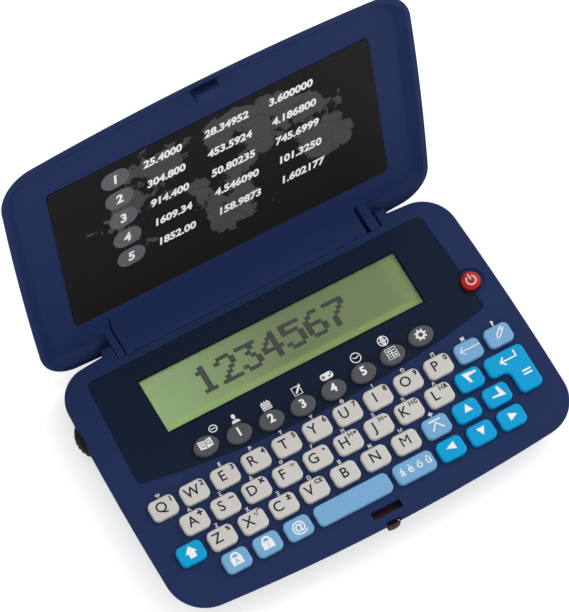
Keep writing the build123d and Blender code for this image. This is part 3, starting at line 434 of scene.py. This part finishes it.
class Print:
    """Flat print of one ink, gathered from letters, filled shapes and lines, all in mm."""

    capital = 1.0  # height of a capital in the font's own units, measured below

    def __init__(self):
        self.areas = bmesh.new()
        self.lines = bmesh.new()
        self.spots = []
        self.level = 0.0

    def letters(self, text, x, y, height, weight=0.0, slant=0.0, width=None):
        """Writes centred text; height is that of a capital."""
        words = bpy.data.curves.new("letters", "FONT")
        words.body = text
        words.offset = weight
        words.shear = slant
        words.resolution_u = 3
        carrier = bpy.data.objects.new("letters", words)
        bpy.context.scene.collection.objects.link(carrier)
        bpy.context.view_layer.update()
        flat = bpy.data.meshes.new_from_object(
            carrier.evaluated_get(bpy.context.evaluated_depsgraph_get()))
        bpy.data.objects.remove(carrier)
        bpy.data.curves.remove(words)
        across = [corner.co.x for corner in flat.vertices]
        scale = height / Print.capital
        stretch = width / (max(across) - min(across)) if width else scale
        middle = (max(across) + min(across)) / 2
        flat.transform(
            Matrix.Translation((x * MM, y * MM, 0))
            @ Matrix.Diagonal((stretch * MM, scale * MM, 1, 1))
            @ Matrix.Translation((-middle, -Print.capital / 2, 0)))
        self.areas.from_mesh(flat)
        bpy.data.meshes.remove(flat)

    def area(self, points):
        """Fills an outline."""
        self.areas.faces.new([self.areas.verts.new((x * MM, y * MM, 0)) for x, y in points])

    def spot(self, x, y):
        """Adds a round spot as wide as the lines."""
        self.spots.append((x * MM, y * MM, self.level + 0.001 * MM))

    def line(self, points, closed=False, spots=True):
        """Adds a path for a line of even width; each path lies a hair above the last."""
        self.level += 0.003 * MM
        corners = [self.lines.verts.new((x * MM, y * MM, self.level)) for x, y in points]
        for first, second in zip(corners, corners[1:]):
            self.lines.edges.new((first, second))
        if closed:
            self.lines.edges.new((corners[-1], corners[0]))
        if spots:
            for x, y in points:
                self.spot(x, y)

    def arc(self, x, y, radius, start=0.0, end=360.0, flat=1.0, steps=24):
        """Adds an arc or a full ring to the line paths."""
        turn = [radians(start + (end - start) * step / steps) for step in range(steps + 1)]
        points = [(x + radius * cos(angle), y + radius * flat * sin(angle)) for angle in turn]
        whole = end - start >= 360
        self.line(points[:-1] if whole else points, closed=whole, spots=False)
        if not whole:
            self.spot(*points[0])
            self.spot(*points[-1])

    def lay(self, name, body, finish, width, place):
        """Prints it: lines get their width, and the whole is laid where place puts it."""
        if self.lines.verts:
            paths = bpy.data.meshes.new(name)
            self.lines.to_mesh(paths)
            points = bpy.data.meshes.new(name)
            points.from_pydata(self.spots, [], [])
            for drawing, shape_tree in ((paths, line_tree), (points, spot_tree)):
                if drawing.vertices:
                    drawn = grow(name, drawing, shape_tree, {"Width": width * MM, "Finish": finish})
                    self.areas.from_mesh(drawn.data)
                    bpy.data.objects.remove(drawn)
        bmesh.ops.triangulate(self.areas, faces=self.areas.faces)
        self.areas.normal_update()
        for face in self.areas.faces:
            face.material_index = 0
            if face.normal.z < 0:
                face.normal_flip()
        film = bpy.data.meshes.new(name)
        self.areas.to_mesh(film)
        film.transform(place)
        film.materials.clear()
        film.materials.append(finish)
        piece = bpy.data.objects.new(name, film)
        bpy.context.scene.collection.objects.link(piece)
        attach(piece, body)
        return piece


# a flat band of even width along a path
line_tree, given, result = new_shape_tree(
    "printed line", [("Width", "NodeSocketFloat"), ("Finish", "NodeSocketMaterial")])
near = node(line_tree, "ShaderNodeCombineXYZ", {
    "X": maths(line_tree, "MULTIPLY", given.outputs["Width"], -0.5)})
far = node(line_tree, "ShaderNodeCombineXYZ", {
    "X": maths(line_tree, "MULTIPLY", given.outputs["Width"], 0.5)})
path = node(line_tree, "GeometryNodeMeshToCurve", {"Mesh": given.outputs["Geometry"]})
level_path = node(line_tree, "GeometryNodeSetCurveNormal", {"Curve": path.outputs[0]}, mode="Z_UP")
edge = node(line_tree, "GeometryNodeCurvePrimitiveLine", {
    "Start": near.outputs[0], "End": far.outputs[0]})
band = node(line_tree, "GeometryNodeCurveToMesh", {
    "Curve": level_path.outputs[0], "Profile Curve": edge.outputs[0]})
real = node(line_tree, "GeometryNodeRealizeInstances", {"Geometry": band.outputs[0]})
inked = node(line_tree, "GeometryNodeSetMaterial", {
    "Geometry": real.outputs[0], "Material": given.outputs["Finish"]})
line_tree.links.new(inked.outputs[0], result.inputs[0])

# a round spot as wide as the line on each corner and end of it
spot_tree, given, result = new_shape_tree(
    "line spots", [("Width", "NodeSocketFloat"), ("Finish", "NodeSocketMaterial")])
rim = node(spot_tree, "GeometryNodeCurvePrimitiveCircle", {
    "Resolution": 12, "Radius": maths(spot_tree, "MULTIPLY", given.outputs["Width"], 0.5)})
spot = node(spot_tree, "GeometryNodeFillCurve", {"Curve": rim.outputs["Curve"]}, mode="NGONS")
spots = node(spot_tree, "GeometryNodeInstanceOnPoints", {
    "Points": given.outputs["Geometry"], "Instance": spot.outputs[0]})
real = node(spot_tree, "GeometryNodeRealizeInstances", {"Geometry": spots.outputs[0]})
inked = node(spot_tree, "GeometryNodeSetMaterial", {
    "Geometry": real.outputs[0], "Material": given.outputs["Finish"]})
spot_tree.links.new(inked.outputs[0], result.inputs[0])

# an H written while a capital still counts as 1 high shows how high it really is
probe = Print()
probe.letters("H", 0, 0, 1.0)
Print.capital = max(corner.co.y for corner in probe.areas.verts) / MM + 0.5

key_grey = moulded("key grey", tone(218, 214, 209), 0.48, grain_size=0.2, relief=0.01, gloss=0.2,
                   tone_spread=0.03)
key_light_blue = moulded("key light blue", tone(127, 181, 224), 0.45, grain_size=0.2, relief=0.01,
                         gloss=0.15, tone_spread=0.03)
key_blue = moulded("key blue", tone(8, 168, 226), 0.42, grain_size=0.2, relief=0.01, gloss=0.12,
                   tone_spread=0.03)

# name: (main letter, its shift in x, sign at the rear right, its shift in x and y, its height)
letter_prints = {
    "q": ("Q", -0.6, "1", 2.9, 1.5, 1.5), "w": ("W", -0.7, "2", 2.9, 1.5, 1.5),
    "e": ("E", -0.75, "3", 2.9, 1.5, 1.5), "r": ("R", -1.1, "4", 2.9, 1.5, 1.5),
    "t": ("T", -0.9, "5", 2.9, 1.5, 1.5), "y": ("Y", -1.3, "6", 2.9, 1.5, 1.5),
    "u": ("U", -1.1, "7", 2.8, 1.5, 1.5), "i": ("I", -1.0, "8", 2.9, 1.5, 1.5),
    "o": ("O", -0.9, "9", 2.9, 1.5, 1.5), "p": ("P", -0.9, "0", 2.9, 1.5, 1.5),
    "a": ("A", -0.6, "+", 2.4, 1.6, 2.2), "s": ("S", -1.25, "–", 2.4, 1.6, 2.0),
    "d": ("D", -1.3, "×", 2.4, 1.6, 2.2), "f": ("F", -1.3, "", 0, 0, 0),
    "g": ("G", -1.4, "·", 2.6, 1.5, 2.6), "h": ("H", -1.3, "M+", 2.1, 1.7, 1.2),
    "j": ("J", -1.7, "M–", 2.1, 1.7, 1.2), "k": ("K", -1.5, "MC", 2.1, 1.7, 1.2),
    "l": ("L", -1.1, "MR", 2.1, 1.7, 1.2), "z": ("Z", -1.4, "%", 2.6, 1.6, 1.3),
    "x": ("X", -1.3, "", 0, 0, 0), "c": ("C", -1.75, "±", 2.2, 1.7, 1.8),
    "v": ("V", -1.6, "CE", 2.1, 1.7, 1.2), "b": ("B", -0.1, "", 0, 0, 0),
    "n": ("N", -0.2, "", 0, 0, 0), "m": ("M", -0.2, "", 0, 0, 0),
}
light_blue_keys = ("back", "edit", "insert", "caps", "numbers", "at", "space", "accents")
blue_keys = ("previous", "enter", "shift", "up", "next", "left", "down", "right")
key_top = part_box("key_q")[1].z
centre = {}
for name in (*letter_prints, *light_blue_keys, *blue_keys):
    low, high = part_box("key_" + name)
    centre[name] = ((low.x + high.x) / 2 / MM, (low.y + high.y) / 2 / MM)
    plain = key_blue if name in blue_keys else key_light_blue
    dress("key_" + name, key_grey if name in letter_prints else plain)


def on_key(name, lift=0.03):
    """Place of a print that is drawn round a key's middle; the lift is in mm."""
    x, y = centre[name]
    return Matrix.Translation((x * MM, y * MM, key_top + lift * MM))


def over(level, lift=0.03):
    """Place of a print that is drawn in the case's own x and y; the lift is in mm."""
    return Matrix.Translation((0, 0, level + lift * MM))


for name, (letter, shift, sign, sign_x, sign_y, sign_height) in letter_prints.items():
    print_work = Print()
    print_work.letters(letter, shift, 0.3, 3.0, weight=0.0 if letter == "M" else 0.008)
    if sign.startswith("M"):
        # the font's own M fills in when it is thickened, so this one is drawn with a line
        left, foot, head = sign_x - 1.25, sign_y - 0.6, sign_y + 0.6
        print_work.line([(left, foot), (left, head), (left + 0.55, foot + 0.4),
                         (left + 1.1, head), (left + 1.1, foot)])
        print_work.letters(sign[1:], sign_x + 0.8, sign_y, sign_height, weight=0.06, width=1.05)
    elif sign:
        print_work.letters(sign, sign_x, sign_y, sign_height, weight=0.035,
                           width=2.5 if len(sign) > 1 else None)
    if name == "f":
        # a division sign
        print_work.line([(1.75, 1.6), (3.05, 1.6)])
        print_work.spot(2.4, 1.05)
        print_work.spot(2.4, 2.15)
    if name == "x":
        # a root sign
        print_work.line([(1.2, 1.6), (1.5, 1.7), (1.9, 0.9), (2.4, 2.4), (3.2, 2.4)])
    print_work.lay("legend_" + name, "key_" + name, black_ink,
                   0.34 if sign.startswith("M") else 0.28, on_key(name))

signs = {name: Print() for name in (*light_blue_keys, *blue_keys) if name != "space"}
signs["back"].line([(3.6, 0.4), (-2.5, 0.4)])
signs["back"].line([(-1.3, 1.6), (-2.0, 0.9), (-2.6, 0.4), (-2.0, -0.1), (-1.3, -0.8)])
signs["edit"].line([(-0.9, -0.9), (-0.5, 0.2), (1.5, 2.0), (2.2, 1.3), (0.2, -0.6)], closed=True)
signs["edit"].line([(1.0, 1.55), (1.7, 0.85)])
signs["insert"].line([(-1.6, -1.1), (0.1, 1.0), (1.8, -1.1)])
signs["insert"].line([(-1.6, 1.7), (1.8, 1.7)])
# two padlocks, with the letter or figure in the key's own tone
for name, glyph in (("caps", "A"), ("numbers", "1")):
    signs[name].area([(-1.8, -1.6), (1.7, -1.6), (1.7, 0.75), (-1.8, 0.75)])
    signs[name].arc(-0.05, 0.85, 1.15, 0, 180, steps=14)
    mark = Print()
    mark.letters(glyph, -0.05, -0.45, 1.5)
    mark.lay("legend_glyph_" + name, "key_" + name, key_light_blue, 0.2, on_key(name, 0.05))
signs["at"].letters("@", 0.1, 0.1, 3.0, weight=0.012)
signs["accents"].letters("á è ö û", 0.3, 0.3, 2.5, weight=0.01)
# the arrowheads of previous and next are open: two arms each
signs["previous"].area([(-1.5, 2.25), (0.07, 0.98), (2.84, 1.17), (2.7, 1.77)])
signs["previous"].area([(-1.5, 2.25), (-0.42, -1.09), (0.37, -1.17), (0.07, 0.98)])
signs["next"].area([(2.4, -1.15), (1.27, 2.22), (0.5, 2.19), (0.67, -0.16)])
signs["next"].area([(2.4, -1.15), (0.67, -0.16), (-1.53, -0.09), (-1.88, -0.55)])
signs["up"].area([(-1.0, -0.6), (1.7, -0.6), (0.35, 1.9)])
signs["down"].area([(-1.1, 1.45), (0.2, -1.05), (1.6, 1.45)])
signs["left"].area([(1.4, -0.85), (1.4, 1.6), (-1.6, 0.35)])
signs["right"].area([(-0.8, 1.45), (-0.8, -1.1), (1.9, 0.15)])
signs["shift"].area([(-1.0, -1.6), (1.0, -1.6), (1.0, 0.0), (-1.0, 0.0)])
signs["shift"].area([(-1.8, 0.0), (1.8, 0.0), (0.05, 2.2)])
# the enter key is L-shaped: a return arrow on its wide arm, an equals sign on its long one
enter_x, enter_y = centre["enter"]
arrow_x, arrow_y = 53.9 - enter_x, -16.3 - enter_y
signs["enter"].line([(arrow_x + 2.6, arrow_y + 1.4), (arrow_x + 2.6, arrow_y - 0.3),
                     (arrow_x - 2.4, arrow_y - 0.3)])
signs["enter"].line([(arrow_x - 1.3, arrow_y + 0.8), (arrow_x - 2.5, arrow_y - 0.3),
                     (arrow_x - 1.3, arrow_y - 1.4)])
equals_x, equals_y = 56.9 - enter_x, -22.3 - enter_y
for step in (-0.55, 0.55):
    signs["enter"].line([(equals_x - 1.15, equals_y + step), (equals_x + 1.15, equals_y + step)])
line_widths = {"back": 0.28, "caps": 0.62, "numbers": 0.62, "enter": 0.55, "insert": 0.5}
for name, sign in signs.items():
    sign.lay("legend_" + name, "key_" + name, white_ink, line_widths.get(name, 0.4), on_key(name))

# ---- function keys -------------------------------------------------------------------------------
# Eight oval keys on one web of dark grey silicone rubber, compression moulded in one shot and
# printed white on top. The web is held under the deck.
function_rubber = moulded("function rubber", tone(86, 88, 93), 0.6, grain_size=0.25,
                          relief=0.015, gloss=0.25)
dress("function_keys", function_rubber)
function_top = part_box("function_keys")[1].z
row_middle, key_pitch, row_radius = 0.65, 10.08, 250
function_x = [row_middle + (place - 3.5) * key_pitch for place in range(8)]
function_y = [-0.5 + (x - row_middle) ** 2 / (2 * row_radius) for x in function_x]
fills = Print()
for number in range(1, 6):
    fills.letters(str(number), function_x[number] + 0.1, function_y[number] + 0.4, 2.5,
                  weight=0.035)
# an open book with lines of writing and a reading glass, in the rubber's own tone
x, y = function_x[0], function_y[0] + 0.2
for side in (-1, 1):
    fills.area([(x, y - 1.3), (x + side * 2.1, y - 0.95), (x + side * 2.1, y + 1.6), (x, y + 1.3)])
fills.lay("function_figures", "function_keys", white_ink, 0.3, over(function_top))
book = Print()
for step in range(3):
    book.line([(x - 1.7, y + 0.95 - 0.65 * step), (x - 0.45, y + 0.8 - 0.65 * step)])
book.line([(x, y - 1.3), (x, y + 1.3)])
book.arc(x + 0.95, y + 0.45, 0.55)
book.line([(x + 1.35, y), (x + 1.8, y - 0.5)])
book.lay("function_book_lines", "function_keys", function_rubber, 0.22, over(function_top, 0.045))
# a calculator: four cells with a plus or a minus in each
grid = Print()
x, y = function_x[6], function_y[6] + 0.3
grid.line([(x - 1.6, y - 1.6), (x + 1.6, y - 1.6), (x + 1.6, y + 1.7), (x - 1.6, y + 1.7)],
          closed=True)
grid.line([(x - 1.6, y), (x + 1.6, y)])
grid.line([(x, y - 1.6), (x, y + 1.7)])
for step_x, step_y, plus in ((-0.8, 0.85, True), (0.8, 0.85, False), (-0.8, -0.8, False),
                             (0.8, -0.8, True)):
    grid.line([(x + step_x - 0.42, y + step_y), (x + step_x + 0.42, y + step_y)])
    if plus:
        grid.line([(x + step_x, y + step_y - 0.42), (x + step_x, y + step_y + 0.42)])
grid.lay("function_grid", "function_keys", white_ink, 0.25, over(function_top))
gear = Print()
x, y = function_x[7], function_y[7] + 0.15
gear.arc(x, y, 1.05)
for tooth in range(8):
    angle = tooth * pi / 4 + 0.2
    gear.line([(x + reach * cos(angle), y + reach * sin(angle)) for reach in (1.15, 1.55)])
gear.lay("function_gear", "function_keys", white_ink, 0.6, over(function_top))

# ---- power button --------------------------------------------------------------------------------
# A domed button of red silicone rubber beside the display, coloured through, with painted shade
# that darkens it towards its rim, and a pale stand-by sign printed on the dome.
low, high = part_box("power_button")
power_axis = Vector(((low.x + high.x) / 2, (low.y + high.y) / 2, 0))
power_red, tree, out = new_finish("power red")
place = node(tree, "ShaderNodeTexCoord").outputs["Object"]
moved = node(tree, "ShaderNodeVectorMath", {0: place, 1: power_axis}, operation="SUBTRACT")
from_axis = node(tree, "ShaderNodeVectorMath", {0: moved.outputs[0], 1: (1, 1, 0)},
                 operation="MULTIPLY")
span = node(tree, "ShaderNodeVectorMath", {0: from_axis.outputs[0]}, operation="LENGTH")
# painted shade: the red darkens towards the rim, standing in for the shadow gap round the button
rim_shade = ramp(tree, span.outputs["Value"], 2.5 * MM, 3.2 * MM, ease="SMOOTHSTEP")
shaded_red = blend(tree, rim_shade, tone(188, 34, 28), tone(48, 8, 10))
grain = grained(tree, shaded_red, 0.42, grain_size=0.25, tone_spread=0.05)
surface = skin(tree, grain, {
    "Normal": raised(tree, grain.outputs["Height"], 0.35, 0.01), "Specular IOR Level": 0.25})
tree.links.new(surface.outputs[0], out.inputs["Surface"])
dress("power_button", power_red)
stand_by = Print()
stand_by.arc(0, -0.05, 1.4, 125, 415, steps=36)
stand_by.line([(0, 0.2 + 0.25 * step) for step in range(8)])
pale_ink = ink("pale ink", tone(246, 224, 220))
stand_by = stand_by.lay("power_sign", "power_button", pale_ink, 0.38, Matrix())
# drawn flat round the origin, then laid over the dome
dome_fall = 0.0560  # mm below the top, at one mm from the axis
for corner in stand_by.data.vertices:
    out_mm = hypot(corner.co.x, corner.co.y) / MM
    corner.co = (corner.co.x + power_axis.x, corner.co.y + power_axis.y,
                 high.z + (0.05 - dome_fall * out_mm ** 2) * MM)

# ---- contrast wheel and latch button -------------------------------------------------------------
# A notched black wheel on the board's pin for the display's contrast, and the maroon slider whose
# nose is pushed in at the front to free the lid's barb. Both are moulded acetal.
dress("contrast_wheel", moulded("wheel black", tone(22, 21, 20), 0.5, gloss=0.4))
dress("latch_button", moulded("latch maroon", tone(48, 14, 19), 0.45, gloss=0.3))

# ---- upper case ----------------------------------------------------------------------------------
# The deck round the keys with the hinge ears and the latch slot, in the same grained navy ABS. A
# second alphabet and small signs are printed white beside the keys.
dress("upper_case", case_navy)
marks = Print()
second_alphabet = {
    "q": "Ψ", "e": "Ε", "r": "Ρ", "t": "Τ", "y": "Υ", "u": "Θ",
    "i": "Ι", "o": "Ο", "p": "Π", "a": "Α", "s": "Σ", "d": "Δ",
    "f": "Φ", "g": "Γ", "h": "Η", "j": "Ξ", "k": "Κ", "l": "Λ",
    "z": "Ζ", "x": "Χ", "c": "Ξ", "v": "Ω", "b": "Β", "n": "Ν",
    "m": "Μ",
}
for name, letter in second_alphabet.items():
    x, y = centre[name]
    weight = 0.0 if name == "m" else 0.03
    marks.letters(letter, x + 0.5, y + 4.2, 1.1, weight=weight)
for name, sign in (("back", "×"), ("edit", "?"), ("insert", "+")):
    x, y = centre[name]
    marks.letters(sign, x + 0.5, y + 4.25, 1.7, weight=0.05)
marks.lay("deck_marks", "case", white_ink, 0.2, over(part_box("upper_case")[1].z))

# ---- dark panel and window -----------------------------------------------------------------------
# A smooth blue-black plate let into the deck round the display, printed white with the function
# signs, and a clear acrylic window behind it.
panel_dark = moulded("panel dark", tone(22, 34, 55), 0.4, grain_size=0.5, relief=0.004,
                     wear=0.25, gloss=0.06)
dress("screen_fascia", panel_dark)
panel_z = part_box("screen_fascia")[1].z
fine = Print()
# speech
fine.arc(-30.2, 5.9, 1.2, flat=0.85)
fine.line([(-30.9, 5.9), (-29.5, 5.9)])
# calendar
x, y = -13.5, 4.75
for step in range(5):
    fine.line([(x - 1.3 + 0.65 * step, y - 1.2), (x - 1.3 + 0.65 * step, y + 0.9)])
for step in range(4):
    fine.line([(x - 1.3, y - 1.2 + 0.7 * step), (x + 1.3, y - 1.2 + 0.7 * step)])
for step in (-0.8, 0.0, 0.8):
    fine.line([(x + step, y + 0.9), (x + step, y + 1.35)])
# note and pencil
x, y = -3.5, 4.6
fine.line([(x + 0.7, y + 1.2), (x - 1.3, y + 1.2), (x - 1.3, y - 1.4), (x + 1.2, y - 1.4),
           (x + 1.2, y + 0.2)])
fine.line([(x - 0.6, y - 0.7), (x + 1.4, y + 1.5)])
fine.line([(x - 0.3, y - 0.8), (x + 1.5, y + 1.1)])
# clock
fine.arc(16.3, 5.25, 1.5)
fine.line([(15.5, 5.5), (16.2, 5.1), (17.2, 5.5)])
# globe
x, y = 25.7, 6.05
fine.arc(x, y, 1.5)
fine.line([(x - 1.5, y), (x + 1.5, y)])
fine.line([(x, y - 1.5), (x, y + 1.5)])
fine.arc(x + 1.8, y, 2.35, 140, 220, steps=8)
fine.arc(x - 1.8, y, 2.35, -40, 40, steps=8)
fine.lay("panel_line_signs", "case", white_ink, 0.3, over(panel_z))

solid_signs = Print()
# a person, head and shoulders
x, y = -23.4, 5.6
ring = [(cos(turn * pi / 8), sin(turn * pi / 8)) for turn in range(16)]
solid_signs.area([(x + 0.62 * a, y + 0.75 + 0.75 * b) for a, b in ring])
solid_signs.area([(x - 1.35, y - 1.35), (x + 1.35, y - 1.35), (x + 1.1, y - 0.6),
                  (x + 0.35, y - 0.25), (x - 0.35, y - 0.25), (x - 1.1, y - 0.6)])


def long_round(x, y, straight, across, high):
    """Outline of an oval with a straight middle: half lengths in x and a half height."""
    return [(x + (straight if a > 0 else -straight) + across * a, y + high * b) for a, b in ring]


# a game pad, its cross and buttons in the panel's own tone
x, y = 6.2, 4.4
solid_signs.area(long_round(x, y, 1.0, 1.05, 1.1))
solid_signs.lay("panel_solid_signs", "case", white_ink, 0.3, over(panel_z))
pad = Print()
pad.line([(x - 1.65, y), (x - 0.55, y)])
pad.line([(x - 1.1, y - 0.55), (x - 1.1, y + 0.55)])
for step_x, step_y in ((0.75, -0.25), (1.4, 0.3)):
    pad.arc(x + step_x, y + step_y, 0.14, steps=8)
pad.lay("panel_pad_marks", "case", panel_dark, 0.3, over(panel_z, 0.04))

lens_clear, tree, out = new_finish("window acrylic")
scuffs = node(tree, "ShaderNodeGroup", {"Amount": 0.3}, node_tree=wear_group)
clear = node(tree, "ShaderNodeBsdfPrincipled", {
    "Base Color": (0.97, 1.0, 0.97, 1), "Transmission Weight": 1.0, "IOR": 1.49,
    "Roughness": maths(tree, "MULTIPLY", scuffs.outputs["Mask"], 0.08),
    "Specular IOR Level": 0.1})
open_way = node(tree, "ShaderNodeBsdfTransparent", {"Color": (0.97, 1, 0.97, 1)})
path = node(tree, "ShaderNodeLightPath")
window = node(tree, "ShaderNodeMixShader", {
    0: path.outputs["Is Shadow Ray"], 1: clear.outputs[0], 2: open_way.outputs[0]})
# a dark border all round, past the half lengths of the clear part: partly a printed mask, partly
# painted shade standing in for the shadow of the window's inner walls at the rear and right
clear_middle, clear_half_x, clear_half_y = (0.5 * MM, 20.1 * MM, 0), 42.05 * MM, 8.75 * MM
place = node(tree, "ShaderNodeTexCoord").outputs["Object"]
from_middle = node(tree, "ShaderNodeVectorMath", {0: place, 1: clear_middle},
                   operation="SUBTRACT")
away = node(tree, "ShaderNodeVectorMath", {0: from_middle.outputs[0]}, operation="ABSOLUTE")
axes = node(tree, "ShaderNodeSeparateXYZ", {0: away.outputs[0]})
masked = maths(tree, "MAXIMUM", maths(tree, "GREATER_THAN", axes.outputs["X"], clear_half_x),
               maths(tree, "GREATER_THAN", axes.outputs["Y"], clear_half_y))
mask_and_shade_border = skin(tree, grained(tree, tone(13, 20, 30), 0.4), {"Specular IOR Level": 0.1})
bordered = node(tree, "ShaderNodeMixShader", {
    0: masked, 1: window.outputs[0], 2: mask_and_shade_border.outputs[0]})
tree.links.new(bordered.outputs[0], out.inputs["Surface"])
dress("screen_lens", lens_clear)

# ---- lid -----------------------------------------------------------------------------------------
# A tray-shaped cover in grained navy ABS, moulded in one piece with its hinge barrel, spring
# finger, pins and latch hook. It snaps into the ears of the case.
dress("lid_shell", moulded("lid navy", tone(35, 51, 94), 0.55, relief=0.03, gloss=0.1))

# ---- card in the lid -----------------------------------------------------------------------------
# A near-black plastic card glued in the lid's tray, printed in greys with a made-up chart of
# islands, five numbered tabs and a table of figures.
hinge = Vector((0, 41.4 * MM, 8.8 * MM))
open_angle = radians(108.8)
opened = (Matrix.Translation(hinge) @ Matrix.Rotation(-open_angle, 4, "X")
          @ Matrix.Translation(-hinge))
card_dark, tree, out = new_finish("card dark")
# the chart is drawn as if the lid were closed, so that it lies flat
closed_place = node(tree, "ShaderNodeVectorRotate", {
    "Vector": node(tree, "ShaderNodeTexCoord").outputs["Object"], "Center": hinge,
    "Axis": (1, 0, 0), "Angle": open_angle}, rotation_type="AXIS_ANGLE").outputs[0]
coast = node(tree, "ShaderNodeTexNoise", {
    "Vector": closed_place, "Scale": 58.0, "Detail": 8.0, "Roughness": 0.6})
# land thins out away from the chart's middle, by the distance as part of its half lengths
chart_middle = (2 * MM, -3 * MM, 13 * MM)
from_middle = node(tree, "ShaderNodeVectorMath", {0: closed_place, 1: chart_middle},
                   operation="SUBTRACT")
away = node(tree, "ShaderNodeVectorMath", {
    0: from_middle.outputs[0], 1: (1 / 50, 1 / 27, 1 / 20)}, operation="MULTIPLY")
span = node(tree, "ShaderNodeVectorMath", {0: away.outputs[0]}, operation="LENGTH")
shore = ramp(tree, span.outputs["Value"], 0.7 * MM, 1.05 * MM, 0.49, 0.75)
above = maths(tree, "SUBTRACT", coast.outputs["Fac"], shore)
borders = node(tree, "ShaderNodeTexVoronoi", {"Vector": closed_place, "Scale": 130.0},
               feature="DISTANCE_TO_EDGE")
land = maths(tree, "MULTIPLY", ramp(tree, above, 0.0, 0.006),
             ramp(tree, borders.outputs["Distance"], 0.012, 0.03, low=0.72))
printed = blend(tree, land, tone(31, 27, 28), tone(80, 80, 83))
grain = grained(tree, printed, 0.5, grain_size=0.2, tone_spread=0.05)
surface = skin(tree, grain, {"Specular IOR Level": 0.1})
tree.links.new(surface.outputs[0], out.inputs["Surface"])
dress("label_card", card_dark)


def on_card(lift):
    """Place of a print on the card, with y towards the lid's free edge; the lift is in mm."""
    card_face = 12.95 * MM  # height of the printed side with the lid closed
    return opened @ over(card_face, -lift) @ Matrix.Rotation(pi, 4, "X")


row_places = (20.0, 11.8, 3.65, -4.5, -12.7)
tab_x, column_places = -30, (-15.0, 5.4, 26.2)
tabs = Print()
for y in row_places:
    tabs.area(long_round(tab_x, y, 1.1, 3.4, 3.4))
tab_grey = moulded("tab grey", tone(103, 104, 109), 0.5, wear=0.0, gloss=0.15)
tabs.lay("card_tabs", "lid", tab_grey, 0.3, on_card(0.03))
figures = Print()
table_rows = (("25.4000", "28.34952", "3.600000"), ("304.800", "453.5924", "4.186800"),
              ("914.400", "50.80235", "745.6999"), ("1609.34", "4.546090", "101.3250"),
              ("1852.00", "158.9873", "1.602177"))
for number, (y, row) in enumerate(zip(row_places, table_rows), 1):
    figures.letters(str(number), tab_x, y, 3.0, weight=0.04, slant=0.1)
    for x, text in zip(column_places, row):
        figures.letters(text, x, y, 2.6, weight=0.04, slant=0.15)
figures.lay("card_figures", "lid", white_ink, 0.3, on_card(0.06))

# ---- battery door and screws ---------------------------------------------------------------------
# The door is a plain navy moulding with finger grips, hooked in by two tabs and snapped shut. Six
# small steel screws with crossed slots hold the halves of the case together.
dress("battery_door", moulded("door navy", tone(33, 48, 88), 0.55, relief=0.03, gloss=0.1))
screw_steel, tree, out = new_finish("screw steel")
turned = node(tree, "ShaderNodeTexWave", {
    "Vector": node(tree, "ShaderNodeTexCoord").outputs["Object"], "Scale": 1400.0,
    "Distortion": 2.0})
surface = skin(tree, grained(tree, tone(168, 168, 172), 0.34), {
    "Metallic": 1.0, "Normal": raised(tree, turned.outputs["Fac"], 0.2, 0.01)})
tree.links.new(surface.outputs[0], out.inputs["Surface"])
dress("case_screws", screw_steel)
